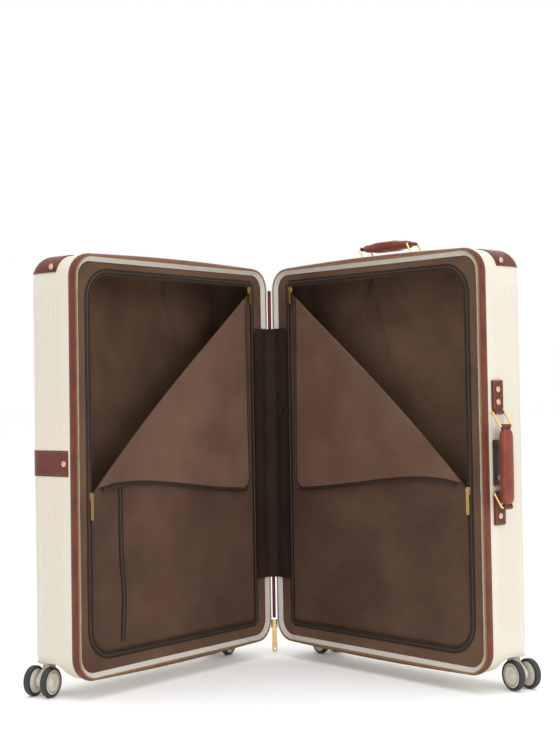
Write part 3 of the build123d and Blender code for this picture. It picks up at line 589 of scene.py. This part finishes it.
def make_shell(half):
    source = NODES[f"{half}_shell"].data
    bm = bmesh.new()
    bm.from_mesh(source)
    bm.transform(AXES[half].inverted())
    if half == "front":
        bmesh.ops.reverse_faces(bm, faces=bm.faces)
    bmesh.ops.remove_doubles(bm, verts=bm.verts, dist=0.00001)
    faces = outer_faces(bm)
    for z in (LIFT + FADE_START, LIFT + FADE_END, TOP - FADE_END, TOP - FADE_START):
        faces = cut(bm, faces, (0, 0, z), (0, 0, 1))
    for d in (SMOOTH_LIP, SMOOTH_LIP + 6 * MM, CORNER_D):
        faces = cut(bm, faces, (0, d, 0), (0, 1, 0))
    for s in (SPINE + BACK_R, S_OUT - BACK_R):
        faces = cut(bm, faces, (s, 0, 0), (1, 0, 0))
    middle, sides = in_region(faces, lambda c: SPINE + BACK_R < c.x < S_OUT - BACK_R)
    _, middle = in_region(middle, lambda c: c.y < SMOOTH_LIP or c.z < PLAIN_FOOT)
    for line in face_lines:
        for shift in (-GROOVE_HALF, 0.0, GROOVE_HALF):
            middle = cut(bm, middle, (line + shift, 0, 0), (1, 0, 0))
    for way in (-1, 1):
        here, sides = in_region(sides, lambda c: (c.x - S_MID) * way > 0)
        here, _ = in_region(here, lambda c: LIFT + 50 * MM < c.z < TOP - 50 * MM)
        flat, arc = in_region(here, lambda c: c.y < CORNER_D)
        for line in side_lines:
            for shift in (-GROOVE_HALF, 0.0, GROOVE_HALF):
                flat = cut(bm, flat, (0, line + shift, 0), (0, 1, 0))
        pivot = Vector((S_MID + way * (WIDTH / 2 - BACK_R), CORNER_D, 0))
        for index in range(corner_count + 1):
            for shift in (-GROOVE_HALF, 0.0, GROOVE_HALF):
                angle = index * RIGHT / corner_count + shift / BACK_R
                plane = Vector((-math.sin(angle) * way, math.cos(angle), 0))
                arc = cut(bm, arc, pivot, plane)
    bm.normal_update()
    bmesh.ops.remove_doubles(bm, verts=bm.verts, dist=0.000004)
    skin = {vert for face in outer_faces(bm) for vert in face.verts}
    moves = []
    for vert in skin:
        phase = groove_phase(vert.co)
        if phase < GROOVE_HALF * 0.5 and vert.co.z > PLAIN_FOOT:
            push = GROOVE_DEPTH * groove_weight(vert.co)
            if push > 0:
                moves.append((vert, vert.normal * -push))
    for vert, move in moves:
        vert.co += move
    made = deliver(
        bm, f"{half}_ribbed_shell", half, POLYCARBONATE, f"{half}_half", (f"{half}_shell",),
        smooth=28,
    )
    print(made.name, "faces", len(made.data.polygons), "groove points", len(moves))


for half in HALVES:
    make_shell(half)

# %% [markdown]
# ## Linings
# Each half is lined with a loose tray of twill that is sewn to a border panel. The frame's thin tray
# is copied, cut into a grid with bisecting planes so that it can bend, and then moved by a smooth
# field of noise. Both of its faces move alike, so the cloth keeps its thickness. Three sewn pleats
# rise from the floor of each tray.
# %% A loose woven tray
CLOTH_PITCH = 11 * MM
PLEATS = {
    "front": (((191, 719), (277, 495)), ((219, 682), (308, 532)), ((206, 719), (146, 560))),
    "back": (((206, 727), (264, 516)), ((219, 726), (142, 593)), ((232, 722), (330, 590))),
}
PLEAT_WIDTH = 7 * MM
noise.seed_set(7)            # without a seed, the vector noise takes its offsets from the clock


def near_line(s, z, first, last):
    """Distance from a point to a segment, and how far along it the nearest place is, 0 to 1."""
    run_s, run_z = last[0] - first[0], last[1] - first[1]
    share = ((s - first[0]) * run_s + (z - first[1]) * run_z) / (run_s ** 2 + run_z ** 2)
    share = max(0.0, min(1.0, share))
    return math.hypot(s - first[0] - share * run_s, z - first[1] - share * run_z), share


def make_lining(half):
    bm = bmesh.new()
    bm.from_mesh(NODES[f"{half}_lining"].data)
    bm.transform(AXES[half].inverted())
    if half == "front":
        bmesh.ops.reverse_faces(bm, faces=bm.faces)
    bmesh.ops.remove_doubles(bm, verts=bm.verts, dist=0.00001)
    deepest = max(vert.co.y for vert in bm.verts)
    for axis, low, high in ((0, SPINE, S_OUT), (1, 0, deepest), (2, LIFT, TOP)):
        normal = [0, 0, 0]
        normal[axis] = 1
        for index in range(1, int((high - low) / CLOTH_PITCH)):
            point = [0, 0, 0]
            point[axis] = low + index * CLOTH_PITCH
            bmesh.ops.bisect_plane(
                bm, geom=bm.verts[:] + bm.edges[:] + bm.faces[:], dist=0.000001,
                plane_co=point, plane_no=normal,
            )
    pleats = [[(s * MM, z * MM) for s, z in pleat] for pleat in PLEATS[half]]
    for vert in bm.verts:
        s, d, z = vert.co
        if d < 14 * MM:
            vert.co.y += 0.35 * MM * noise.noise(Vector((s * 25, z * 25, 3.0)))
            continue
        sway = noise.noise_vector(Vector((s * 9, d * 14, z * 9)))
        middle = Vector((S_MID, 0, LIFT + HEIGHT / 2)) - Vector((s, 0, z))
        middle = Vector((middle.x / WIDTH, -0.6, middle.z / HEIGHT)).normalized()
        vert.co += middle * (3.0 * MM + sway.x * 4.2 * MM) * ramp(d, 14 * MM, 30 * MM)
        if d > deepest - 6 * MM:
            for first, last in pleats:
                away, share = near_line(s, z, first, last)
                vert.co.y -= 9 * MM * math.exp(-((away / PLEAT_WIDTH) ** 2)) * (1 - 0.8 * share)
    tray = deliver(
        bm, f"{half}_woven_lining", half, LINING, f"{half}_half", (f"{half}_lining",),
        smooth=60,
    )
    print(tray.name, "faces", len(tray.data.polygons))


make_lining("back")
make_lining("front")

# %% [markdown]
# ## Dividers
# Each divider is one cloth panel with a zip on three sides. Its upper outer corner is unzipped and
# folded down, so the piece is made in two parts that meet at a soft roll: the panel that stays flat,
# and the flap that hangs in front of it with its reverse outwards. The flap's cloth is coloured paler
# than the panel's: painted light, for the light that falls on the hanging flap. Both start as a grid,
# and planes cut the grid to the sewing pattern's outline.
# %% The sewing pattern's lines
PANEL_S0, PANEL_S1 = 48 * MM, 485 * MM
PANEL_Z0, PANEL_Z1 = 70 * MM, 711 * MM
PANEL_R = 45 * MM
FOLD_TOP = Vector((66 * MM, 0, 683 * MM))
FOLD_OUT = Vector((471 * MM, 0, 345 * MM))
FLAP_CORNER = Vector((62 * MM, 0, 320 * MM))
PANEL_DEPTH = 10.5 * MM
ROLL_R = 2.3 * MM
fold_run = (FOLD_OUT - FOLD_TOP).normalized()
fold_down = Vector((fold_run.z, 0, -fold_run.x))


def cloth_grid(s0, s1, z0, z1, pitch):
    """A flat cloth that faces out of the mouth."""
    bm = bmesh.new()
    lay = (
        Matrix.Translation(((s0 + s1) / 2, 0, (z0 + z1) / 2)) @ Matrix.Rotation(RIGHT, 4, "X")
        @ Matrix.Diagonal((s1 - s0, z1 - z0, 1, 1))
    )
    bmesh.ops.create_grid(
        bm, x_segments=int((s1 - s0) / pitch), y_segments=int((z1 - z0) / pitch), size=0.5, matrix=lay
    )
    return bm


def slice_off(bm, point, normal):
    """Cut away the cloth on the side that the normal points to."""
    bmesh.ops.bisect_plane(
        bm, geom=bm.verts[:] + bm.edges[:] + bm.faces[:], dist=0.000001, plane_co=point,
        plane_no=normal, clear_outer=True,
    )


def round_corner(bm, centre, radius, first, last, cuts=7):
    """Round a corner with tangent cuts between two outward directions, as angles."""
    for index in range(cuts):
        angle = first + (last - first) * (index + 0.5) / cuts
        out = Vector((math.cos(angle), 0, math.sin(angle)))
        slice_off(bm, centre + out * radius, out)


def past_fold(co):
    """Distance below the fold line, and the share of the way along it."""
    offset = Vector((co.x, 0, co.z)) - FOLD_TOP
    return offset.dot(fold_down), offset.dot(fold_run) / (FOLD_OUT - FOLD_TOP).length


def bow(share, below):
    """The fold bows a little outwards where the loose cloth pulls on it."""
    return 7 * MM * math.sin(math.pi * max(0, min(1, share)) ** 1.3) * math.exp(-below / (60 * MM))


def ease(s, z):
    """Gentle unevenness of the hanging cloth."""
    return noise.noise(Vector((s * 7, z * 5, 11.0))) + 0.45 * noise.noise(Vector((s * 19, z * 13, 5.0)))


def make_panel(half):
    bm = cloth_grid(PANEL_S0 - MM, PANEL_S1, PANEL_Z0, PANEL_Z1, 9 * MM)
    slice_off(bm, FOLD_TOP, -fold_down)
    corner = Vector((PANEL_S1 - PANEL_R, 0, PANEL_Z0 + PANEL_R))
    round_corner(bm, corner, PANEL_R, -RIGHT, 0.0)
    for vert in bm.verts:
        below, share = past_fold(vert.co)
        lift = -bow(share, below)
        edge = min(vert.co.x - PANEL_S0, PANEL_S1 - vert.co.x, vert.co.z - PANEL_Z0)
        vert.co.y = PANEL_DEPTH + 0.9 * MM * ease(vert.co.x, vert.co.z) * ramp(edge, 0, 40 * MM)
        vert.co += fold_down * lift
    bmesh.ops.solidify(bm, geom=bm.faces[:], thickness=0.9 * MM)
    panel = deliver(
        bm, f"{half}_divider_panel", half, PANEL_CLOTH, f"{half}_half",
        (f"{half}_divider",), smooth=60,
    )


def flap_depth(s, z):
    """Depth of the hanging flap: it swings out a little towards its free corner."""
    near = math.exp(-((s - FLAP_CORNER.x) ** 2 + (z - FLAP_CORNER.z) ** 2) / (0.11 ** 2))
    return PANEL_DEPTH - 2 * ROLL_R - (0.6 + 1.2 * ease(s, z) + 1.6 * near) * MM


def foot_lift(s, z):
    """Height by which the flap's loose foot is pulled up on its way to the zipped end."""
    share = max(0.0, min(1.0, (s - FLAP_CORNER.x) / (FOLD_OUT.x - FLAP_CORNER.x)))
    near = math.exp(-max(0.0, z - FLAP_CORNER.z) / (70 * MM))
    below = past_fold(Vector((s, 0, z)))[0]
    return 15 * MM * near * math.sin(math.pi * share ** 2) * ramp(below, 4 * MM, 30 * MM)


def make_flap(half):
    bm = cloth_grid(FLAP_CORNER.x - 2 * MM, FOLD_OUT.x, FLAP_CORNER.z, FOLD_TOP.z, 8 * MM)
    slice_off(bm, FOLD_TOP, -fold_down)
    free_side = (FLAP_CORNER - FOLD_TOP).normalized()
    slice_off(bm, FOLD_TOP, Vector((free_side.z, 0, -free_side.x)))
    free_foot = (FOLD_OUT - FLAP_CORNER).normalized()
    slice_off(bm, FLAP_CORNER, Vector((free_foot.z, 0, -free_foot.x)))
    inside = FLAP_CORNER + Vector((19, 0, 19.5)) * MM
    round_corner(bm, inside, 19 * MM, -2 * RIGHT, -RIGHT)
    for index in range(1, 11):
        bmesh.ops.bisect_plane(
            bm, geom=bm.verts[:] + bm.edges[:] + bm.faces[:], dist=0.000001,
            plane_co=FOLD_TOP + fold_down * index * 0.8 * MM, plane_no=fold_down,
        )
    for vert in bm.verts:
        below, share = past_fold(vert.co)
        s, z = vert.co.x, vert.co.z
        hang = flap_depth(s, z)
        turned = min(below / ROLL_R, math.pi)
        blend_in = ramp(below, 6 * MM, 30 * MM)
        rolled = PANEL_DEPTH - ROLL_R * (1 - math.cos(turned))
        in_plane = -ROLL_R * math.sin(turned) + max(0.0, below - math.pi * ROLL_R)
        vert.co.y = rolled * (1 - blend_in) + hang * blend_in
        vert.co += fold_down * (in_plane - below - bow(share, in_plane))
        vert.co.z += foot_lift(s, z)
    bmesh.ops.solidify(bm, geom=bm.faces[:], thickness=-0.8 * MM)
    # The flap's paler colour is painted light on the hanging flap, not a different cloth.
    flap = deliver(bm, f"{half}_divider_flap", half, FLAP_REVERSE_PAINTED_LIGHT, f"{half}_half", smooth=60)


for half in HALVES:
    make_panel(half)
    make_flap(half)

# %% [markdown]
# ## Coil zips
# A nylon coil zip is a woven tape with a round coil along its edge. The coil's loops are under a
# millimetre, so it is one half-round rib with a fine ribbed finish, swept round the window, down the
# flap's free edges, and along the pocket in the left panel.
# %% Zips of the dividers
RIB = ((-1.8, 0.0), (-1.2, -1.0), (0.0, -1.5), (1.2, -1.0), (1.8, 0.0))


def ribbed_coil():
    finish, tree, surface, place = new_finish("nylon_coil_ribbed", Roughness=0.4)
    loops = add_node(
        tree, "ShaderNodeTexVoronoi", {"Vector": place, "Scale": 1 / (1.5 * MM)}
    )
    tone = two_tone(tree, loops.outputs["Distance"], "3A2A20", "150E0A")
    tree.links.new(tone.outputs["Color"], surface.inputs["Base Color"])
    bump(tree, surface, loops.outputs["Distance"], 0.5, 0.0006)
    return finish


COIL_RIBBED = ribbed_coil()


def sewn_zip(name, half, start, heading, moves, depth, tape_in, tape_out, follow=None):
    """A coil and its tape along a path; follow gives the depth where the cloth is uneven."""
    profiles = (
        ("tape", ZIP_CLOTH, [(-tape_out, 0.0), (-tape_out, -0.5), (tape_in, -0.5), (tape_in, 0.0)]),
        ("coil", COIL_RIBBED, [*RIB, (0.0, 0.4)]),
    )
    for label, finish, profile in profiles:
        bm = bmesh.new()
        scaled = [(side * MM, deep * MM + depth) for side, deep in profile]
        travel(bm, scaled, start, heading, moves)
        rims = [edge for edge in bm.edges if edge.is_boundary]
        bmesh.ops.holes_fill(bm, edges=rims)
        bmesh.ops.recalc_face_normals(bm, faces=bm.faces)
        if follow:
            for vert in bm.verts:
                s, z = vert.co.x, vert.co.z
                vert.co.y += follow(s, z) - depth
                vert.co.z += foot_lift(s, z)
        deliver(bm, f"{half}_{name}_{label}", half, finish, f"{half}_half", smooth=50)


for half in HALVES:
    grow = 3 * MM
    low, out, high = PANEL_Z0 - grow, PANEL_S1 + grow, PANEL_Z1 + grow
    turn = PANEL_R + grow
    window = [
        ("run", out - turn - PANEL_S0, 10), ("turn", RIGHT, turn, 12),
        ("run", high - low - 2 * turn, 14), ("turn", RIGHT, turn, 12),
        ("run", out - turn - PANEL_S0, 10),
    ]
    sewn_zip("window_zip", half, (PANEL_S0, low), 0.0, window, 7.7 * MM, 6.5, 5.5)
    spine_seam = [("run", high - low, 20)]
    sewn_zip("spine_seam", half, (PANEL_S0 - 3 * MM, high), -RIGHT, spine_seam, 7.8 * MM, 4, 5)
    down = FLAP_CORNER - FOLD_TOP
    foot = FOLD_OUT - FLAP_CORNER
    start_heading = math.atan2(down.z, down.x)
    swing = math.atan2(foot.z, foot.x) - start_heading
    short = 19 * MM * math.tan(swing / 2)
    begin = FOLD_TOP + down.normalized() * 9 * MM
    edges = [
        ("run", down.length - 9 * MM - short, 24), ("turn", swing, 19 * MM, 8),
        ("run", foot.length - short - 14 * MM, 26),
    ]
    sewn_zip(
        "flap_zip", half, (begin.x, begin.z), start_heading, edges, 0.0, 8, 0.4,
        follow=lambda s, z: flap_depth(s, z) - 0.2 * MM,
    )
pocket = [("run", 120 * MM, 8), ("turn", math.radians(-6), 0.3, 4), ("run", 10 * MM, 1),
          ("turn", math.radians(11), 0.3, 6), ("run", 50 * MM, 5)]
sewn_zip("pocket_zip", "front", (412 * MM, 355 * MM), math.radians(-91), pocket, 9.5 * MM, 5, 5)

# %% [markdown]
# ## Seams and stitches
# Stitches are lens shapes of thread with only twenty faces each, because there are many.
# %% Rows of stitches
def stitch_row(bm, first, last, pitch, lay, length=1.6, thick=0.42):
    """Stitches from first to last; lay is the direction the thread stands up in."""
    run = Vector(last) - Vector(first)
    count = max(2, int(run.length / pitch))
    forward = run.normalized()
    up = Vector(lay).normalized()
    turn = Matrix((forward, up.cross(forward), up)).transposed().to_4x4()
    size = Matrix.Diagonal((length * MM, thick * MM, thick * MM, 1))
    for index in range(count):
        spot = Vector(first) + run * (index + 0.5) / count
        bmesh.ops.create_icosphere(
            bm, subdivisions=1, radius=1, matrix=Matrix.Translation(spot) @ turn @ size
        )


SIDE_D, SIDE_Z0, SIDE_Z1 = 39 * MM, 280 * MM, 520 * MM
STRAP_W, STRAP_T = 26 * MM, 4 * MM
EYE_HIGH, EYE_LOW = 467 * MM, 333 * MM
bm = bmesh.new()
face_s = S_OUT + STRAP_T
for low, high in ((SIDE_Z0 + 3 * MM, EYE_LOW - 7 * MM), (EYE_HIGH + 7 * MM, SIDE_Z1 - 3 * MM)):
    for d in (SIDE_D - STRAP_W / 2 + 2.6 * MM, SIDE_D + STRAP_W / 2 - 2.6 * MM):
        stitch_row(bm, (face_s, d, low), (face_s, d, high), 4.6 * MM, (1, 0, 0))
for end_z in (SIDE_Z0 + 2.6 * MM, SIDE_Z1 - 2.6 * MM):
    stitch_row(
        bm, (face_s, SIDE_D - 10 * MM, end_z), (face_s, SIDE_D + 10 * MM, end_z), 4.6 * MM, (1, 0, 0)
    )
deliver(bm, "side_strap_stitches", "back", THREAD, "back_half", smooth=60)

BAND_Z0, BAND_Z1 = 370 * MM, 413 * MM
bm = bmesh.new()
for z in (BAND_Z0 + 3 * MM, BAND_Z1 - 3 * MM):
    for s, way in ((S_OUT + MM, 1), (SPINE - MM, -1)):
        stitch_row(bm, (s, 24 * MM, z), (s, DEPTH - BACK_R, z), 5.2 * MM, (way, 0, 0))
    face_d = DEPTH + MM
    stitch_row(
        bm, (SPINE + BACK_R, face_d, z), (S_OUT - BACK_R, face_d, z), 5.2 * MM, (0, 1, 0)
    )
deliver(bm, "belly_band_stitches", "front", THREAD, "front_half", smooth=60)

# %% [markdown]
# ## Rivets
# Domed copper rivets are spun from half of their outline: a rolled flange, then a shallow dome.
# %% Domed rivets
RIVET_OUTLINE = (
    (0.0, 2.1), (1.68, 1.95), (3.12, 1.45), (3.84, 1.0), (4.2, 0.95), (4.92, 0.8), (5.16, 0.35),
    (5.04, 0.0),
)


def add_rivet(bm, spot, way):
    """Spin a rivet whose axis points along way, in a half's axes."""
    up = Vector(way).normalized()
    across = up.orthogonal().normalized()
    chain = [
        bm.verts.new(Vector(spot) + across * r * MM + up * h * MM) for r, h in RIVET_OUTLINE
    ]
    edges = [bm.edges.new(pair) for pair in zip(chain, chain[1:])]
    bmesh.ops.spin(
        bm, geom=chain + edges, cent=spot, axis=up, angle=4 * RIGHT, steps=20, use_merge=True,
        use_duplicate=False,
    )


GUARD_T = 1.6 * MM
TOP_D, TOP_TAB_T = 72 * MM, 3.5 * MM
for half in HALVES:
    bm = bmesh.new()
    add_rivet(bm, (S_OUT + GUARD_T, 57 * MM, 722 * MM), (1, 0, 0))
    add_rivet(bm, (SPINE - GUARD_T, 57 * MM, 722 * MM), (-1, 0, 0))
    if half == "back":
        for z in (SIDE_Z0 + 15 * MM, SIDE_Z0 + 36 * MM, SIDE_Z1 - 15 * MM, SIDE_Z1 - 36 * MM):
            add_rivet(bm, (S_OUT + STRAP_T, SIDE_D, z), (1, 0, 0))
        for s in (S_MID - 94 * MM, S_MID + 94 * MM):
            add_rivet(bm, (s, TOP_D, TOP + TOP_TAB_T), (0, 0, 1))
    else:
        for s, way in ((S_OUT + MM, 1), (SPINE - MM, -1)):
            add_rivet(bm, (s, 32 * MM, (BAND_Z0 + BAND_Z1) / 2), (way, 0, 0))
    bmesh.ops.remove_doubles(bm, verts=bm.verts, dist=0.000005)
    bmesh.ops.recalc_face_normals(bm, faces=bm.faces)
    deliver(
        bm, f"{half}_domed_rivets", half, RIVET_COPPER, f"{half}_half",
        (f"{half}_rivets",), smooth=40,
    )

# %% [markdown]
# ## Handles
# A suitcase grip is a leather sleeve sewn round a padded core. Its section is a flattened oval that
# swells between the ends, so rings of the section are extruded along it and scaled, and its end
# tabs turn round the rings' bars.
# %% Padded leather grips
RING_PITCH = 27.5 * MM
SIDE_LEAN, TOP_LEAN = math.radians(33), math.radians(30)
EYE_OUT = S_OUT + 3.8 * MM
TOP_EYES = (S_MID - 60 * MM, S_MID + 60 * MM)
side_bars = [
    Vector((EYE_OUT + RING_PITCH * math.sin(SIDE_LEAN), SIDE_D, z - RING_PITCH * math.cos(SIDE_LEAN)))
    for z in (EYE_LOW, EYE_HIGH)
]
top_bars = [
    Vector((
        s - RING_PITCH * math.sin(TOP_LEAN), TOP_D, TOP + 3.8 * MM + RING_PITCH * math.cos(TOP_LEAN)
    ))
    for s in TOP_EYES
]
GRIP_RINGS = (
    (5.0, 9.0, 2.6), (7.0, 10.5, 4.2), (9.0, 12.2, 6.2), (13.0, 13.0, 7.2), (22.0, 13.2, 7.5),
)


def make_grip(name, bars, body, node, girth=1.0):
    """A padded sleeve between two bars, with a turned tab round each."""
    low, high = bars
    axis = (high - low).normalized()
    wide = Vector((0, 1, 0))
    thick = axis.cross(wide)
    length = (high - low).length
    rings = [(t * MM, w, h) for t, w, h in GRIP_RINGS]
    for share in (0.3, 0.4, 0.5, 0.6, 0.7):
        rings.append((length * share, 13.0 + 0.3 * math.sin(math.pi * share), 7.6 * girth))
    rings += [(length - t * MM, w, h) for t, w, h in reversed(GRIP_RINGS)]
    basis = Matrix((thick, wide, axis)).transposed().to_4x4()
    bm = bmesh.new()
    base = bmesh.ops.create_circle(bm, cap_ends=False, segments=36, radius=1)["verts"]
    for vert in base:
        for index in (0, 1):
            vert.co[index] = math.copysign(abs(vert.co[index]) ** 0.72, vert.co[index])
    edges, at, half_w, half_t = bm.edges[:], 0.0, 1.0, 1.0
    for step, (t, w, h) in enumerate(rings):
        if step:
            grown = bmesh.ops.extrude_edge_only(bm, edges=edges)["geom"]
            base = [item for item in grown if isinstance(item, bmesh.types.BMVert)]
            edges = [item for item in grown if isinstance(item, bmesh.types.BMEdge)
                     and all(vert in base for vert in item.verts)]
        bmesh.ops.scale(bm, verts=base, vec=(h * MM / half_t, w * MM / half_w, 1))
        bmesh.ops.translate(bm, verts=base, vec=(0, 0, t - at))
        at, half_w, half_t = t, w * MM, h * MM
    bmesh.ops.holes_fill(bm, edges=[edge for edge in bm.edges if edge.is_boundary])
    bm.transform(Matrix.Translation(low) @ basis)
    bmesh.ops.recalc_face_normals(bm, faces=bm.faces)
    sleeve = deliver(bm, name, "back", LEATHER_GRIP, body, (node,), smooth=50)
    bm = bmesh.new()
    for bar, way in ((low, 1), (high, -1)):
        loop = []
        for index in range(20):
            angle = 4 * RIGHT * index / 20
            loop.append(bar + (axis * math.cos(angle) + thick * math.sin(angle)) * 3.4 * MM)
        chain = [bm.verts.new(spot - wide * 10 * MM) for spot in loop]
        ring_edges = [bm.edges.new(pair) for pair in zip(chain, chain[1:] + chain[:1])]
        pulled = bmesh.ops.extrude_edge_only(bm, edges=ring_edges)["geom"]
        moved = [item for item in pulled if isinstance(item, bmesh.types.BMVert)]
        bmesh.ops.translate(bm, verts=moved, vec=wide * 20 * MM)
        tab = Matrix.Translation(bar + axis * way * 5.2 * MM) @ basis
        bmesh.ops.create_cube(bm, size=1, matrix=tab @ Matrix.Diagonal((3.6 * MM, 20 * MM, 5 * MM, 1)))
    turned = [face for face in bm.faces if len(face.edges) == 4 and face.calc_area() < 0.00003]
    bmesh.ops.recalc_face_normals(bm, faces=bm.faces)
    bmesh.ops.solidify(bm, geom=turned, thickness=1.2 * MM)
    deliver(bm, f"{name}_tabs", "back", LEATHER, body, smooth=40)
    bm = bmesh.new()
    clear = (15 if girth == 1 else 38) * MM
    for side in (-1, 1):
        edge_d = wide * side * 11.2 * MM
        for face in (-1, 1):
            first = low + axis * clear + edge_d + thick * face * 5.7 * girth * MM
            last = high - axis * clear + edge_d + thick * face * 5.7 * girth * MM
            lay = thick * face + wide * side * 0.5
            stitch_row(bm, first, last, 4.2 * MM, lay - axis * lay.dot(axis))
    deliver(bm, f"{name}_stitches", "back", THREAD, body, smooth=60)


make_grip("side_padded_grip", side_bars, "side_grip", "side_handle_grip")
make_grip("top_padded_grip", top_bars, "top_grip", "top_handle_grip", girth=1.3)

# %% [markdown]
# ## Spine cover
# A strip of dark cloth is sewn over the zip tape inside the spine, to both halves. Here it is one
# piece placed in the room, carried by neither half.
# %% Cloth over the spine
COVER_Z0, COVER_Z1 = 152 * MM, 628 * MM


def cover_line(share):
    """A point across the strip: from the back half's free edge to the front half's."""
    half = "back" if share < 0.5 else "front"
    reach = abs(share - 0.5) * 2
    s = 5.5 * MM + 38 * MM * reach
    d = (3.0 - 1.4 * math.exp(-((reach / 0.12) ** 2)) + 0.5 * math.sin(reach * 9)) * MM
    return in_half(s, d - 1.2 * MM, 0, half)


def make_spine_cover():
    bm = bmesh.new()
    bmesh.ops.create_grid(bm, x_segments=32, y_segments=44, size=0.5)
    for vert in bm.verts:
        across, up = vert.co.x + 0.5, vert.co.y + 0.5
        spot = cover_line(across)
        ridge = math.exp(-(((across - 0.5) / 0.06) ** 2))
        spot.y -= (2.4 * ridge + 0.7 * noise.noise(Vector((across * 7, up * 9, 2.0)))) * MM
        vert.co = (spot.x, spot.y, COVER_Z0 + (COVER_Z1 - COVER_Z0) * up)
    bmesh.ops.solidify(bm, geom=bm.faces[:], thickness=0.8 * MM)
    bmesh.ops.recalc_face_normals(bm, faces=bm.faces)
    cover = deliver(bm, "spine_cloth", None, COVER, None, ("spine_cover",), 60)
    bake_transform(cover)


make_spine_cover()

# %% [markdown]
# ## Caster wheels
# Each wheel has a pale nylon hub with a raised ring, a recessed web and a centre cap. The ring
# carries plain tick marks all round. The hub is spun from half of its outline.
# %% Hubs with tick marks
HUB_OUTLINE = (
    (0.0, 5.4), (5.6, 5.4), (6.4, 4.9), (6.8, 3.6), (9.6, 3.2), (12.6, 3.6), (13.2, 4.9),
    (14.0, 5.5), (19.2, 5.5), (20.2, 5.0), (20.3, -5.0), (19.2, -5.5), (0.0, -5.5),
)
CASTER_YAW = math.radians(11)
axle_way = (-into * math.cos(CASTER_YAW) - along * math.sin(CASTER_YAW)).normalized()
trail_way = Vector((0, 0, 1)).cross(axle_way)
WHEEL_R, GAUGE, TRAIL = 25.25 * MM, 34 * MM, 20 * MM
CASTER_SPOTS = ((SPINE + 24 * MM, 98 * MM), (S_OUT - 24 * MM, 98 * MM))
TICKS = 30


def make_hubs(half, number):
    s, d = CASTER_SPOTS[number - 1]
    centre = in_half(s, d, WHEEL_R) + trail_way * TRAIL
    bm, marks = bmesh.new(), bmesh.new()
    for side in (-1, 1):
        middle = centre + axle_way * side * GAUGE / 2
        out = axle_way * side
        across = Vector((0, 0, 1))
        chain = [bm.verts.new(middle + across * r * MM + out * h * MM) for r, h in HUB_OUTLINE]
        edges = [bm.edges.new(pair) for pair in zip(chain, chain[1:])]
        bmesh.ops.spin(
            bm, geom=chain + edges, cent=middle, axis=out, angle=4 * RIGHT, steps=48,
            use_merge=True, use_duplicate=False,
        )
        for index in range(TICKS):
            turn = Matrix.Rotation(4 * RIGHT * index / TICKS, 4, out)
            spoke = turn @ across
            spot = middle + spoke * 16.7 * MM + out * 5.5 * MM
            lay = Matrix((spoke, out.cross(spoke), out)).transposed().to_4x4()
            size = Matrix.Diagonal(((3.6 if index % 5 else 4.4) * MM, 1.3 * MM, 0.3 * MM, 1))
            bmesh.ops.create_cube(marks, size=1, matrix=Matrix.Translation(spot) @ lay @ size)
    bmesh.ops.remove_doubles(bm, verts=bm.verts, dist=0.000005)
    bmesh.ops.recalc_face_normals(bm, faces=bm.faces)
    for mesh, label, finish in ((bm, "hubs", HUB_NYLON), (marks, "hub_marks", INK)):
        if half == "front":
            mesh.transform(FLIP)
            bmesh.ops.reverse_faces(mesh, faces=mesh.faces)
        stands_for = (f"{half}_caster_{number}_hubs",) if label == "hubs" else ()
        deliver(
            mesh, f"{half}_wheel_{number}_{label}", None, finish, f"{half}_wheels_{number}",
            stands_for, 35 if label == "hubs" else 0,
        )


for half in HALVES:
    for number in (1, 2):
        make_hubs(half, number)

# %% [markdown]
# ## Studio
# A pale floor and big soft lamps, as for a catalogue picture.
# %% Floor and lights
def make_floor():
    bm = bmesh.new()
    bmesh.ops.create_grid(bm, x_segments=2, y_segments=2, size=40)
    mesh = bpy.data.meshes.new("floor")
    bm.to_mesh(mesh)
    bm.free()
    floor = bpy.data.objects.new("floor", mesh)
    finish, _, surface, _ = new_finish("studio_floor", Roughness=0.75)
    surface.inputs["Base Color"].default_value = linear("FFFFFF")
    mesh.materials.append(finish)
    bpy.context.scene.collection.objects.link(floor)


def area_light(name, at, target, size, power):
    data = bpy.data.lights.new(name, "AREA")
    data.shape = "RECTANGLE"
    data.size, data.size_y = size
    data.energy = power
    lamp = bpy.data.objects.new(name, data)
    lamp.location = at
    lamp.rotation_euler = (Vector(target) - Vector(at)).to_track_quat("-Z", "Y").to_euler()
    bpy.context.scene.collection.objects.link(lamp)


make_floor()
area_light("key", (2.4, -2.6, 1.9), (0, 0, 0.4), (1.6, 1.6), 34)
area_light("fill", (-2.6, -2.0, 1.4), (0, 0, 0.4), (2.0, 2.0), 4)
area_light("top", (0, -0.9, 3.2), (0, -0.2, 0), (3.4, 3.4), 46)
area_light("rim", (0.4, 2.6, 1.8), (0, 0, 0.4), (2.5, 2.0), 12)
world = bpy.data.worlds.new("studio")
world.use_nodes = True
world.node_tree.nodes["Background"].inputs["Color"].default_value = (1, 1, 1, 1)
world.node_tree.nodes["Background"].inputs["Strength"].default_value = 1.0
bpy.context.scene.world = world
bpy.context.scene.view_settings.view_transform = "Standard"
